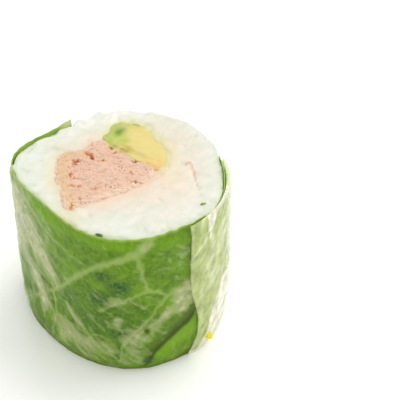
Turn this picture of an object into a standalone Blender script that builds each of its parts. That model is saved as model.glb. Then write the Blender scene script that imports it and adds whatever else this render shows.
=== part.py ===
"""One piece of a tuna and avocado roll, standing on a knife cut.

Rice is rolled round a core of flaked tuna and a strip of avocado. A lettuce leaf
goes round the rice and a sheet of rice paper round the leaf. The piece is a short
length of that roll between two cuts, so every layer runs from one cut to the other.

Metres, +Z up along the roll, origin on the table under the middle of the roll.
Angles are in degrees, anticlockwise from +X seen from above; the side that faces
-Y is called the front.
"""

import math
import random

import bmesh
import bpy
from mathutils import Matrix, Vector

MM = 0.001

# Driving sizes
HEIGHT = 33.6 * MM  # from one knife cut to the other, at the middle
CUT_RISE = 0.7 * MM  # the upper cut is tilted: this much higher at the front left
CUT_RISE_ANGLE = 230
MEAN_RADIUS = 20.8 * MM  # to the outside of one turn of rice paper
PAPER_THICK = 0.35 * MM
LEAF_THICK = 0.5 * MM
GAP = 0.3 * MM  # kept between neighbouring layers
GRAIN = Vector((2.75, 1.12, 1.0)) * MM  # half the length, width and depth of a cooked grain
FLAKE = Vector((1.9, 0.75, 0.65)) * MM  # the same for a flake of tuna

# How the outline seen from above leaves a circle: waves round the roll, depth, first crest
OUTLINE_WAVES = (
    (1, 0.36 * MM, 29),
    (2, 1.25 * MM, -54),
    (3, 0.53 * MM, 52),
    (4, 0.63 * MM, -7),
    (5, 0.11 * MM, 17),
)

# How far the wrap draws in at the two cuts, and over what height
FOOT_TUCK = 0.85 * MM
FOOT_TUCK_HEIGHT = 6 * MM
FOOT_SPREAD = 1.4 * MM  # at the front left it spreads instead
FOOT_SPREAD_HEIGHT = 14 * MM
FOOT_SPREAD_ANGLE = 217
FOOT_SPREAD_HALF_WIDTH = 50
RIM_TUCK = 0.25 * MM
RIM_TUCK_HEIGHT = 2 * MM
RIPPLE = 0.1 * MM

# Lettuce: where it starts and ends, and how its edges wander. A half width is the
# number of degrees to either side of an angle over which a feature dies away.
LEAF_START = 122
LEAF_END = 435
LEAF_HEM = 0.4 * MM  # its lowest point over the table
LEAF_RIM = HEIGHT
CORNER_ANGLE = 167  # the fold where the leaf stands off the rice
CORNER_GAP = 1.0 * MM
CORNER_HALF_WIDTH = 24
LOOSE_ANGLE = 355  # where the paper stands off the leaf
LOOSE_GAP = 0.8 * MM
LOOSE_HALF_WIDTH = 32
NOTCH_ANGLE = 333  # a tear in the rim
NOTCH_DEPTH = 9 * MM
NOTCH_HALF_WIDTH = 8
BARE_CORNER_ANGLE = 342  # the low corner that the leaf doesn't reach
BARE_CORNER_HEIGHT = 11 * MM
BARE_CORNER_HALF_WIDTH = 30
RIM_WANDER = 0.25 * MM
HEM_WANDER = 0.25 * MM
END_PROUD = 0.3 * MM  # how far the leaf rises towards its free end
END_HALF_WIDTH = 60

# Rice paper: its outer edge, and how far it goes on past a full turn
PAPER_EDGE = 309
PAPER_OVERLAP = 67
PAPER_STEP = 18  # degrees in which it drops to the single layer after its end
PAPER_HEM = 0.3 * MM
PAPER_RIM = HEIGHT - 0.3 * MM

# Fillings seen from above, as points of a smooth closed outline, in millimetres
TUNA_OUTLINE = (
    (-12.0, 0.8), (-11.8, 4.9), (-9.6, 6.2), (-7.2, 7.0), (-5.8, 9.0), (-3.6, 10.2),
    (-1.8, 8.3), (0.8, 6.3), (3.0, 4.1), (5.4, 2.6), (6.9, 0.2), (4.8, -3.6),
    (-1.3, -8.1), (-8.5, -12.2), (-10.3, -8.1), (-11.5, -3.7),
)
AVOCADO_OUTLINE = (
    (-3.4, 11.4), (-2.7, 14.2), (-1.2, 15.8), (1.4, 16.4), (4.1, 15.2), (6.2, 12.1),
    (7.9, 9.2), (8.8, 5.3), (8.7, 1.8), (7.4, 0.6), (5.4, 2.6), (3.0, 4.1), (0.8, 6.3),
    (-1.8, 8.3),
)
OUTLINE_STEPS = 4  # straight steps between two of those points

SOLVER = "MANIFOLD"  # the exact solver leaves the rice open where many grains cross

# Rice and fillings at the upper cut
CORE_TOP = HEIGHT - 0.6 * MM  # the rice between the grains
CORE_SIDES = 64
CORE_RINGS = 7
SLUMP = 1.1 * MM  # how far the rice falls away towards the leaf at the back left
SLUMP_ANGLE = 135
SLUMP_HALF_WIDTH = 60
SLUMP_INSIDE = 11 * MM  # the rice is level this far out, and lowest at the next one
SLUMP_OUTSIDE = 19 * MM
TUNA_TOP = HEIGHT - 0.9 * MM
AVOCADO_TOP = HEIGHT - 0.2 * MM
SIDE_RELIEF = 0.25 * MM  # how far grains stand out of the bare back of the rice
GRAINS_ON_TOP = 84
GRAIN_SPACING = 2.45 * MM
BACK_ROWS = 6
BACK_COLUMNS = 4
BACK_MARGIN = 7  # degrees from each end of the leaf to the first grain
FLAKES = 46
FLAKE_SPACING = 2.0 * MM
FISH_GRAIN = 25  # the way most flakes lie
SEED = 7


def bump(angle, middle, half_width):
    """1 at middle, falling smoothly to 0 at half_width degrees to either side."""
    away = abs((angle - middle + 180) % 360 - 180) / half_width
    return math.cos(min(away, 1) * math.pi / 2) ** 2


def smooth_step(value):
    """0 below 0, 1 above 1, and an even S between them."""
    value = min(max(value, 0), 1)
    return value * value * (3 - 2 * value)


def wrap_radius(angle, z):
    """Outside of one turn of rice paper at one angle and height."""
    radius = MEAN_RADIUS
    for waves, depth, crest in OUTLINE_WAVES:
        radius += depth * math.cos(math.radians(waves * (angle - crest)))
    foot = smooth_step(z / FOOT_TUCK_HEIGHT)
    rim = smooth_step((HEIGHT - z) / RIM_TUCK_HEIGHT)
    spread = bump(angle, FOOT_SPREAD_ANGLE, FOOT_SPREAD_HALF_WIDTH)
    radius += FOOT_SPREAD * spread * (1 - smooth_step(z / FOOT_SPREAD_HEIGHT)) ** 2
    radius -= FOOT_TUCK * (1 - foot) ** 2 + RIM_TUCK * (1 - rim) ** 2
    ripple = math.sin(math.radians(8 * angle) + 250 * z)
    ripple += math.sin(math.radians(5 * angle) - 170 * z)
    return radius + RIPPLE * ripple * foot * rim


def paper_radius(angle, turned, z):
    """Outside of the rice paper, which starts by lying on its own end."""
    lap = PAPER_THICK + GAP
    past_end = smooth_step((turned - PAPER_OVERLAP - 2) / PAPER_STEP)
    return wrap_radius(angle, z) + lap * (1 - past_end)


def leaf_radius(angle, z):
    """Outside of the leaf, a gap inside the paper."""
    inside_paper = wrap_radius(angle, z) - PAPER_THICK - GAP
    return inside_paper - LOOSE_GAP * bump(angle, LOOSE_ANGLE, LOOSE_HALF_WIDTH)


def rice_radius(angle, z):
    """Outside of the rice core, a gap inside the leaf."""
    corner = CORNER_GAP * bump(angle, CORNER_ANGLE, CORNER_HALF_WIDTH)
    return leaf_radius(angle, z) - LEAF_THICK - GAP - SIDE_RELIEF - corner


def cut_rise(point):
    """How far the tilted upper cut stands over its middle at a point seen from above."""
    heading = math.radians(CUT_RISE_ANGLE)
    along = point.x * math.cos(heading) + point.y * math.sin(heading)
    return CUT_RISE * along / MEAN_RADIUS


def rice_top(point):
    """Height of the upper cut over a point seen from above."""
    angle = math.degrees(math.atan2(point.y, point.x))
    outwards = smooth_step((point.length - SLUMP_INSIDE) / (SLUMP_OUTSIDE - SLUMP_INSIDE))
    slump = SLUMP * bump(angle, SLUMP_ANGLE, SLUMP_HALF_WIDTH) * outwards
    return CORE_TOP + cut_rise(point) - slump


def leaf_rim(angle):
    """Height of the leaf's upper edge."""
    proud = END_PROUD * bump(angle, LEAF_START, END_HALF_WIDTH)
    wander = RIM_WANDER * math.sin(math.radians(5 * angle + 20))
    notch = NOTCH_DEPTH * bump(angle, NOTCH_ANGLE, NOTCH_HALF_WIDTH)
    tilt = cut_rise(round_point(MEAN_RADIUS, angle, 0))
    return LEAF_RIM + tilt + proud + wander - notch


def leaf_hem(angle):
    """Height of the leaf's lower edge."""
    wander = HEM_WANDER * (1 + math.sin(math.radians(7 * angle)))
    bare = BARE_CORNER_HEIGHT * bump(angle, BARE_CORNER_ANGLE, BARE_CORNER_HALF_WIDTH)
    return LEAF_HEM + wander + bare


def round_point(radius, angle, z):
    turn = math.radians(angle)
    return Vector((radius * math.cos(turn), radius * math.sin(turn), z))


def smooth_outline(points, out=0.0):
    """A closed Catmull-Rom outline through points in millimetres, moved outwards by out."""
    count = len(points)
    knots = [Vector(point) * MM for point in points]
    curve = []
    for i in range(count):
        a, b, c, d = (knots[(i + k) % count] for k in (-1, 0, 1, 2))
        for step in range(OUTLINE_STEPS):
            t = step / OUTLINE_STEPS
            curve.append(
                0.5 * (2 * b + (c - a) * t + (2 * a - 5 * b + 4 * c - d) * t**2
                       + (3 * b - a - 3 * c + d) * t**3)
            )
    turns = sum(curve[i - 1].cross(curve[i]) for i in range(len(curve)))
    moved = []
    for i, point in enumerate(curve):
        along = (curve[(i + 1) % len(curve)] - curve[i - 1]).normalized()
        outwards = Vector((along.y, -along.x)) * (1 if turns > 0 else -1)
        moved.append(point + outwards * out)
    return moved if turns > 0 else moved[::-1]


def inside(point, outline):
    """True if a point seen from above lies within a closed outline."""
    odd = False
    for i, b in enumerate(outline):
        a = outline[i - 1]
        if (a.y > point.y) != (b.y > point.y):
            if point.x < a.x + (b.x - a.x) * (point.y - a.y) / (b.y - a.y):
                odd = not odd
    return odd


def nearest_run(point, outline):
    """Distance to an outline, and the direction in which it runs there."""
    best = (math.inf, Vector((1, 0)))
    for i, b in enumerate(outline):
        a = outline[i - 1]
        run = b - a
        t = min(max((point - a).dot(run) / run.length_squared, 0), 1)
        best = min(best, ((point - a - run * t).length, run), key=lambda found: found[0])
    return best


def clear_scene():
    for old in list(bpy.data.objects):
        bpy.data.objects.remove(old)


def new_collection(name):
    made = bpy.data.collections.new(name)
    bpy.context.scene.collection.children.link(made)
    return made


def food_material(name, colour, roughness):
    material = bpy.data.materials.new(name)
    material.use_nodes = True
    shader = material.node_tree.nodes["Principled BSDF"]
    shader.inputs["Base Color"].default_value = (*colour, 1)
    shader.inputs["Roughness"].default_value = roughness
    shader.inputs["Metallic"].default_value = 0
    return material


def mesh_object(name, shape, collection, material=None):
    """Turns a bmesh into an object and frees it."""
    mesh = bpy.data.meshes.new(name)
    shape.to_mesh(mesh)
    shape.free()
    made = bpy.data.objects.new(name, mesh)
    collection.objects.link(made)
    if material:
        mesh.materials.append(material)
    mesh.shade_smooth()
    mesh.set_sharp_from_angle(angle=math.radians(35))
    return made


def wrap_sheet(name, columns, rows, place, thickness, material):
    """A thin sheet bent round the roll: a grid laid by place(u, v), thickened inwards."""
    shape = bmesh.new()
    bmesh.ops.create_grid(shape, x_segments=columns, y_segments=rows, size=0.5)
    for vertex in shape.verts:
        vertex.co = place(vertex.co.x + 0.5, vertex.co.y + 0.5)
    bmesh.ops.triangulate(shape, faces=shape.faces)
    made = mesh_object(name, shape, roll, material)
    shell = made.modifiers.new("thickness", "SOLIDIFY")
    shell.thickness = thickness
    shell.offset = -1


def place_on_leaf(u, v):
    angle = LEAF_START + (LEAF_END - LEAF_START) * u
    low, high = leaf_hem(angle), leaf_rim(angle)
    z = low + (high - low) * v
    return round_point(leaf_radius(angle, min(z, HEIGHT)), angle, z)


def place_on_paper(u, v):
    turned = (360 + PAPER_OVERLAP) * u
    angle = PAPER_EDGE + turned
    rim = PAPER_RIM + cut_rise(round_point(MEAN_RADIUS, angle, 0))
    rim += 0.2 * MM * math.sin(math.radians(6 * angle))
    z = PAPER_HEM + (rim - PAPER_HEM) * v
    return round_point(paper_radius(angle, turned, z), angle, z)


def outline_column(name, outline, low, high, collection, material=None):
    """An upright prism on a closed outline, its top tilted with the upper cut."""
    shape = bmesh.new()
    foot = shape.faces.new([shape.verts.new((p.x, p.y, low)) for p in outline])
    raised = bmesh.ops.extrude_face_region(shape, geom=[foot])["geom"]
    for vertex in (part for part in raised if isinstance(part, bmesh.types.BMVert)):
        vertex.co.z = high + cut_rise(vertex.co)
    bmesh.ops.recalc_face_normals(shape, faces=shape.faces)
    return mesh_object(name, shape, collection, material)


def rice_core(material):
    """The bare rice: a drum whose side follows the roll's outline, with a slumped top."""
    shape = bmesh.new()
    bmesh.ops.create_cone(
        shape, segments=CORE_SIDES, radius1=1, radius2=1, depth=1, cap_ends=True
    )
    uprights = [
        edge for edge in shape.edges if abs(edge.verts[0].co.z - edge.verts[1].co.z) > 0.5
    ]
    bmesh.ops.subdivide_edges(shape, edges=uprights, cuts=CORE_RINGS, use_grid_fill=False)
    for vertex in shape.verts:
        angle = math.degrees(math.atan2(vertex.co.y, vertex.co.x))
        z = CORE_TOP * (vertex.co.z + 0.5)
        vertex.co = round_point(rice_radius(angle, z), angle, z)
    top = max(shape.faces, key=lambda face: face.calc_center_median().z)
    for ring in (1.5 * MM, 3 * MM, 4 * MM):
        bmesh.ops.inset_individual(shape, faces=[top], thickness=ring)
    for vertex in shape.verts:
        if vertex.co.z > CORE_TOP - 0.1 * MM:
            vertex.co.z = rice_top(vertex.co.xy)
    return mesh_object("rice", shape, roll, material)


def bean(name, half_sizes, centre, turn, collection):
    """A six-sided grain or flake with blunt ends, its length along X before turn."""
    shape = bmesh.new()
    bmesh.ops.create_uvsphere(shape, u_segments=6, v_segments=4, radius=1)
    for vertex in shape.verts:
        if 0.1 < abs(vertex.co.z) < 0.9:
            vertex.co *= 1.1
    upright_to_length = Matrix.Rotation(math.radians(90), 4, "Y")
    size = Matrix.Diagonal((*half_sizes, 1))
    bmesh.ops.transform(
        shape,
        matrix=Matrix.Translation(centre) @ turn.to_4x4() @ size @ upright_to_length,
        verts=shape.verts,
    )
    return mesh_object(name, shape, collection)


def scatter(draw, count, spacing, allowed, tries=9000):
    """Up to count points of the top face, each spacing from the others, where allowed."""
    reach = MEAN_RADIUS
    found = []
    for _ in range(tries):
        point = Vector((draw.uniform(-reach, reach), draw.uniform(-reach, reach)))
        if len(found) == count:
            break
        if all((point - other).length > spacing for other in found) and allowed(point):
            found.append(point)
    return found


def on_rice(point, walls, room):
    """True if a point lies on the rice with that much room to every wall."""
    outer, tuna, avocado = walls
    if not inside(point, outer) or inside(point, tuna) or inside(point, avocado):
        return False
    return min(nearest_run(point, wall)[0] for wall in walls) > room


def add_top_grains(draw, walls, collection):
    """Grains lying in the upper cut, turned along the nearest wall where one is near."""
    side_room = GRAIN.y + GAP
    places = scatter(
        draw, GRAINS_ON_TOP, GRAIN_SPACING, lambda point: on_rice(point, walls, side_room)
    )
    for n, point in enumerate(places):
        room, run = min((nearest_run(point, wall) for wall in walls), key=lambda near: near[0])
        turn = math.atan2(run.y, run.x) if room < GRAIN.x else draw.uniform(0, math.pi)
        heading = Matrix.Rotation(turn, 3, "Z")
        size = Vector(
            (GRAIN.x * draw.uniform(0.85, 1.1), GRAIN.y * draw.uniform(0.9, 1.1), GRAIN.z)
        )
        tips = [point + (heading @ Vector((way * size.x, 0, 0))).xy for way in (-1, 1)]
        if not all(on_rice(tip, walls, GAP / 2) for tip in tips):
            size.x *= 0.6
        tilt = Matrix.Rotation(math.radians(draw.uniform(-7, 7)), 3, "Y")
        centre = Vector((point.x, point.y, rice_top(point) - draw.uniform(0.25, 0.5) * MM))
        bean(f"grain_{n}", size, centre, heading @ tilt, collection)


def add_back_grains(draw, collection):
    """Grains on the side where the leaf leaves the rice bare."""
    first, last = LEAF_END - 360 + BACK_MARGIN, LEAF_START - BACK_MARGIN
    for row in range(BACK_ROWS):
        z = (CORE_TOP - SLUMP) * (row + 0.7) / (BACK_ROWS + 0.5)
        for column in range(BACK_COLUMNS):
            across = (column + 0.5 * (row % 2)) / (BACK_COLUMNS - 0.5)
            angle = first + (last - first) * across
            centre = round_point(rice_radius(angle, z) - 0.55 * MM, angle, z)
            facing = Matrix.Rotation(math.radians(angle), 3, "Z")
            lie = Matrix.Rotation(math.radians(90), 3, "Z")
            spin = Matrix.Rotation(math.radians(draw.uniform(-50, 50)), 3, "X")
            bean(f"back_grain_{row}_{column}", GRAIN, centre, facing @ spin @ lie, collection)


def add_flakes(draw, outline, collection):
    """Flakes of tuna standing up out of the cut, most of them lying one way."""

    def allowed(point):
        return inside(point, outline) and nearest_run(point, outline)[0] > FLAKE.y + GAP

    for n, point in enumerate(scatter(draw, FLAKES, FLAKE_SPACING, allowed)):
        room, run = nearest_run(point, outline)
        along_edge = math.atan2(run.y, run.x)
        with_grain = math.radians(draw.gauss(FISH_GRAIN, 40))
        size = FLAKE * draw.uniform(0.8, 1.15)
        heading = Matrix.Rotation(along_edge if room < size.x + GAP else with_grain, 3, "Z")
        tilt = Matrix.Rotation(math.radians(draw.uniform(-12, 12)), 3, "Y")
        z = TUNA_TOP + cut_rise(point) + draw.uniform(-0.2, 0.35) * MM
        centre = Vector((point.x, point.y, z))
        bean(f"flake_{n}", size, centre, heading @ tilt, collection)


def fuse(target, collection):
    """Joins a collection's pieces into target and removes them."""
    join = target.modifiers.new("fused pieces", "BOOLEAN")
    join.operation = "UNION"
    join.operand_type = "COLLECTION"
    join.collection = collection
    join.solver = SOLVER
    apply_modifiers(target)
    for piece in list(collection.objects):
        bpy.data.objects.remove(piece)
    bpy.data.collections.remove(collection)


def bore(target, cutter):
    """Cuts a filling's way through target."""
    cut = target.modifiers.new(cutter.name, "BOOLEAN")
    cut.operation = "DIFFERENCE"
    cut.object = cutter
    cut.solver = SOLVER
    apply_modifiers(target)


def apply_modifiers(target):
    """Makes the evaluated mesh the object's own, and drops its modifiers."""
    graph = bpy.context.evaluated_depsgraph_get()
    mesh = bpy.data.meshes.new_from_object(target.evaluated_get(graph))
    old = target.data
    target.modifiers.clear()
    target.data = mesh
    bpy.data.meshes.remove(old)


def hide_cutter(cutter):
    cutter.hide_render = True
    cutter.display_type = "WIRE"


def build_rice():
    """Rice with its grains, bored through where the tuna and the avocado run."""
    draw = random.Random(SEED)
    rice = rice_core(food_material("steamed rice", (0.86, 0.86, 0.80), 0.5))
    tuna_way = smooth_outline(TUNA_OUTLINE, GAP / 2)
    avocado_way = smooth_outline(AVOCADO_OUTLINE, GAP / 2)
    past = 2 * MM
    cutters = [
        outline_column("tuna_way", tuna_way, -past, HEIGHT + past, helpers),
        outline_column("avocado_way", avocado_way, -past, HEIGHT + past, helpers),
    ]
    outer = [
        round_point(rice_radius(angle, CORE_TOP), angle, 0).xy for angle in range(0, 360, 4)
    ]
    grains = new_collection("grains")
    add_top_grains(draw, (outer, tuna_way, avocado_way), grains)
    add_back_grains(draw, grains)
    fuse(rice, grains)
    for cutter in cutters:
        bore(rice, cutter)
        hide_cutter(cutter)


def build_tuna():
    """Flaked tuna, with the flakes fused on at the upper cut."""
    draw = random.Random(SEED + 1)
    outline = smooth_outline(TUNA_OUTLINE, -GAP / 2)
    pink_beige = food_material("cooked tuna", (0.80, 0.50, 0.38), 0.6)
    tuna = outline_column("tuna", outline, 0, TUNA_TOP, roll, pink_beige)
    flakes = new_collection("flakes")
    add_flakes(draw, outline, flakes)
    fuse(tuna, flakes)


def build_avocado():
    """A strip of ripe avocado with its cut edges slightly rounded."""
    outline = smooth_outline(AVOCADO_OUTLINE, -GAP / 2)
    green_to_yellow = food_material("ripe avocado", (0.72, 0.70, 0.22), 0.45)
    avocado = outline_column("avocado", outline, 0, AVOCADO_TOP, roll, green_to_yellow)
    edge = avocado.modifiers.new("softened edge", "BEVEL")
    edge.width = 0.5 * MM
    edge.segments = 2
    edge.angle_limit = math.radians(60)


def build_leaf():
    green = food_material("lettuce leaf", (0.16, 0.36, 0.05), 0.4)
    wrap_sheet("lettuce_leaf", 78, 9, place_on_leaf, LEAF_THICK, green)


def build_paper():
    clear_white = food_material("wet rice paper", (0.72, 0.76, 0.62), 0.3)
    wrap_sheet("rice_paper", 84, 7, place_on_paper, PAPER_THICK, clear_white)


clear_scene()
roll = new_collection("tuna avocado roll")
helpers = new_collection("cutters")
build_rice()
build_tuna()
build_avocado()
build_leaf()
build_paper()
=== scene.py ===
import functools
import math

import bmesh
import bpy
import numpy as np
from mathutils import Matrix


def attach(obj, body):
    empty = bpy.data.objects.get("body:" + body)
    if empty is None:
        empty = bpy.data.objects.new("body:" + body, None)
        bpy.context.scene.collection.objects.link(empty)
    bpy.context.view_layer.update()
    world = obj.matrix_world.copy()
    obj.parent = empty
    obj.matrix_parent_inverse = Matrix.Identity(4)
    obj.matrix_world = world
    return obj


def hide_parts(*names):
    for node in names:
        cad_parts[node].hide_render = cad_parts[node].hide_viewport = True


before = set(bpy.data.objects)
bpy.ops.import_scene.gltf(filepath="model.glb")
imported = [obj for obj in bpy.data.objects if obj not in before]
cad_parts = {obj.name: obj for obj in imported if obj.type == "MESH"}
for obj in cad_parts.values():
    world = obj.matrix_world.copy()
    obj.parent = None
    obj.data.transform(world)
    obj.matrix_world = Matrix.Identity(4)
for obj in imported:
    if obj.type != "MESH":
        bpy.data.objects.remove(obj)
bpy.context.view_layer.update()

# One piece of a tuna and avocado roll on a white table. Sizes are in millimetres until
# a mesh is made, and angles are in degrees, anticlockwise from +X seen from above. The
# side that faces the camera is the front, at -90 degrees.
MM = 0.001
PER_MM = 1 / MM  # a pattern's scale for one wave a millimetre

# Sizes that the solids have too
HEIGHT = 33.6
CUT_RISE, CUT_RISE_ANGLE = 0.7, -130
MEAN_RADIUS = 20.8
OUTLINE_WAVES = ((1, 0.36, 29), (2, 1.25, -54), (3, 0.53, 52), (4, 0.63, -7), (5, 0.11, 17))
RIPPLE = 0.1
FOOT_TUCK, FOOT_TUCK_HEIGHT = 0.85, 6
RIM_TUCK, RIM_TUCK_HEIGHT = 0.25, 2
FOOT_SPREAD, FOOT_SPREAD_HEIGHT = 1.4, 14
FOOT_SPREAD_ANGLE, FOOT_SPREAD_HALF_WIDTH = 217, 50
LEAF_START, LEAF_END = -238, 75
LOOSE_ANGLE, LOOSE_HALF_WIDTH = 355, 32  # where the film stands off the leaf
PAPER_EDGE = -51
PAPER_OVERLAP = 67
PAPER_STEP = 18  # the degrees over which the outer turn comes down past the inner edge
CORE_TOP = HEIGHT - 0.6
TUNA_TOP = HEIGHT - 0.9
AVOCADO_TOP = HEIGHT - 0.2
TUNA_OUTLINE = (
    (-12.0, 0.8), (-11.8, 4.9), (-9.6, 6.2), (-7.2, 7.0), (-5.8, 9.0), (-3.6, 10.2),
    (-1.8, 8.3), (0.8, 6.3), (3.0, 4.1), (5.4, 2.6), (6.9, 0.2), (4.8, -3.6),
    (-1.3, -8.1), (-8.5, -12.2), (-10.3, -8.1), (-11.5, -3.7),
)
# As the solid's, but a little slimmer at its back left corner
AVOCADO_OUTLINE = (
    (-3.4, 11.2), (-2.4, 12.9), (-2.1, 14.7), (-1.0, 16.1), (1.4, 16.5), (4.1, 15.2), (6.2, 12.1),
    (7.9, 9.2), (8.8, 5.3), (8.7, 1.8), (7.4, 0.6), (5.4, 2.6), (3.0, 4.1), (0.8, 6.3),
    (-1.8, 8.3),
)
TUNA_MIDDLE = (-3.6, -1.2)
AVOCADO_MIDDLE = (4.2, 9.2)

# The film and the leaf, which cling closer than their solids, and how far the film's
# outer turn stands off the inner one, how far that swells the roll, and how far the film
# stands off the leaf on the right
FILM = 0.15
LEAF = 0.4
LAP = 0.25
SWELL = 0.4
STAND_OFF = 0.5

# Where the wrap departs from its solids: the rim leans out and up at the back right and
# in and down at the back left, and the left flank is slimmer at half height
BACK_RIGHT, RIM_OUT, RIM_UP = 42, 1.0, 0.9
BACK_LEFT, RIM_IN, RIM_DOWN = 138, 0.7, 0.8
FLANK, FLANK_DIP = 188, 0.5

# Cooked grains and flakes, in full length, width and depth
GRAIN = (5.2, 2.1, 1.9)
FLAKE = (2.0, 1.1, 0.6)
FISH_GRAIN = 25  # the way most flakes lie
GRAIN_PITCH = 0.8  # between the points of an upright bed that grains are laid on
SOLE = 0.35  # the rice's lower cut between its grains

ALONG = math.radians(MEAN_RADIUS)  # millimetres round the wrap for one degree

# The leaf's rim: where it rises or sinks, as (rise, angle, half width), and the tear in
# it, as (angle, depth). Then how high the leaf's hem stands, as (angle, height).
RIM_BUMPS = ((0.25, -150, 40), (-0.3, -208, 30), (0.9, LEAF_START, 16), (0.25, 3, 20))
TORN_NOTCH = ((-39.6, 0), (-38.4, 6), (-35.2, 4), (-33.2, 3), (-32, 1.8), (-30, 1.0), (-25.8, 0.7),
              (-15, 0.5), (-9, 0))
BARE_FOOT = ((-46, 0), (-44, 1), (-40.2, 4.2), (-38.5, 6.4), (-35, 8.6), (-30.2, 11), (-27.8, 12),
             (-26, 13.8), (-8, 13), (2, 8), (10, 3), (16, 0))
# The film's outer edge, as (height, angle)
PAPER_EDGE_LINE = ((0, -52), (2.2, -50.5), (4.4, -49.2), (6.8, -48), (9.4, -47.2), (12.2, -48),
                   (15.4, -50), (17.8, -51), (19.2, -51.2), (33.6, -51))

# Veins of the leaf: width at the first and last point, how strongly it shows, and the
# (angle, height) points that it passes
VEINS = (
    (1.7, 0.6, 0.85, ((-72, 33.8), (-78.5, 30.8), (-85, 29.8), (-95, 27.9), (-105, 25.1),
                     (-111, 23), (-117, 20.6), (-125, 17.2), (-135, 13.8), (-143, 12.4))),
    (0.9, 0.6, 0.8, ((-136, 13.5), (-134, 10.8), (-133, 7.8), (-137, 1.7))),
    (0.9, 0.7, 0.8, ((-79.5, 30), (-77.5, 27.5), (-76.5, 24.5), (-74.5, 22), (-73.5, 21.3),
                     (-68, 20.5), (-65, 19))),
    (0.7, 0.5, 0.6, ((-75, 21.5), (-80, 20.5), (-88, 18.7), (-94, 17.5), (-99, 16))),
    (1.3, 2.2, 0.6, ((-65, 19), (-60, 19.6), (-56, 19.2), (-52, 18.8))),
    (0.7, 0.5, 0.7, ((-65, 19), (-70, 16.5), (-75, 13.5), (-80, 11.5), (-85, 9.5), (-89, 6),
                     (-89, 3.7))),
    (0.9, 0.6, 0.5, ((-146, 29.5), (-135, 28.6), (-120, 27.5), (-106, 26))),
    (0.7, 0.5, 0.4, ((-165, 18.5), (-159, 16.4))),
    (0.8, 0.6, 0.5, ((-165, 5), (-157, 7.6), (-148, 10), (-137, 13.2))),
    (0.6, 0.4, 0.5, ((-133, 7.8), (-124, 8.6), (-114, 8.4), (-100, 9))),
    (0.5, 0.3, 0.6, ((-74, 14), (-70, 13), (-66, 12.5))),
    (0.4, 0.3, 0.5, ((-74, 12), (-72.5, 9))),
    (0.5, 0.3, 0.5, ((-56, 19.5), (-58, 16.5), (-60, 13.5))),
    (0.5, 0.3, 0.4, ((-62, 6), (-60.5, 3), (-61, 0))),
    (0.5, 0.3, 0.4, ((-48, 5), (-47, 0))),
    (1.2, 0.7, 0.9, ((28, 33), (33, 27), (41, 19), (52, 11), (66, 3))),
    (0.8, 0.4, 0.7, ((33, 27), (26, 21), (20, 14), (19, 6))),
    (0.7, 0.4, 0.7, ((41, 19), (54, 20), (66, 24), (74, 25))),
    (0.7, 0.4, 0.6, ((12, 32), (6, 25), (-2, 20), (-12, 17))),
    (0.6, 0.4, 0.6, ((52, 11), (40, 8), (30, 3))),
    (1.3, 0.7, 0.9, ((-190, 32), (-197, 26), (-208, 19), (-221, 11), (-234, 3))),
    (0.8, 0.5, 0.7, ((-197, 26), (-212, 27), (-226, 25), (-237, 26))),
    (0.8, 0.4, 0.7, ((-208, 19), (-198, 14), (-186, 11), (-172, 11))),
    (0.6, 0.4, 0.6, ((-221, 11), (-212, 6), (-205, 1))),
)

# Marks on the wrap: angle, height, half size round the roll and upwards in millimetres,
# lean in degrees, strength
DEEP_GREEN = (
    (-96, 14, 8, 6, 20, 0.5), (-88, 22.6, 2.0, 1.8, 0, 1.0), (-99, 19, 2.6, 1.8, 0, 0.7),
    (-89, 10.3, 1.8, 1.1, 0, 1.1), (-97, 24.8, 2.2, 1.5, 30, 0.8), (-121, 15.5, 3.4, 2, 30, 0.5),
    (-75, 2.4, 1.1, 1.2, 20, 1.5), (-150, 14.6, 4.6, 0.6, -30, 0.9), (-166, 11, 0.6, 3, 10, 0.5),
    (-136.5, 2.6, 0.7, 2.0, 10, 0.7), (-154, 2, 4, 1.6, 10, 0.3), (-90, 5, 0.7, 2.6, -15, 0.6),
    (-105, 30.5, 5, 1.5, 0, 0.3), (-66, 27.5, 3, 3, 0, 0.3), (-132, 10.6, 1.6, 0.8, 0, 0.5),
    (-118, 9.3, 2.4, 0.4, 10, 0.5), (-131, 22.4, 1.6, 0.5, 20, 0.45), (-110, 26, 3, 1.4, 20, 0.3),
    (45, 14, 7, 6, 20, 0.4), (15, 24, 5, 4, 0, 0.3), (-215, 16, 7, 6, -20, 0.4),
)
YELLOW_GREEN = (
    (-62, 16.6, 1.9, 1.8, 0, 0.8), (-88, 32.4, 6, 0.9, 0, 0.7), (-120, 32.6, 8, 1.4, 0, 0.4),
    (-55, 7, 3.4, 1.8, 25, 0.85), (-66, 3.5, 2.4, 1.8, 30, 0.6), (-62, 31.6, 4, 1.6, 0, 0.6),
    (-150, 32.3, 9, 1.8, 0, 0.9), (-82, 2, 1.8, 1.4, 0, 0.3), (-58, 26, 3, 3, 0, 0.3),
    (20, 31, 7, 2, 0, 0.5), (60, 30, 5, 2, 0, 0.4), (-200, 31, 8, 2, 0, 0.5),
)
# The crisp lower edge of a fold in the leaf
FOLD = ((-77, 0), (-74.5, 2.2), (-70.8, 4.7), (-64.8, 6.6), (-59, 8.2), (-53, 9.6), (-50, 10.6),
        (-47, 12))

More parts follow.
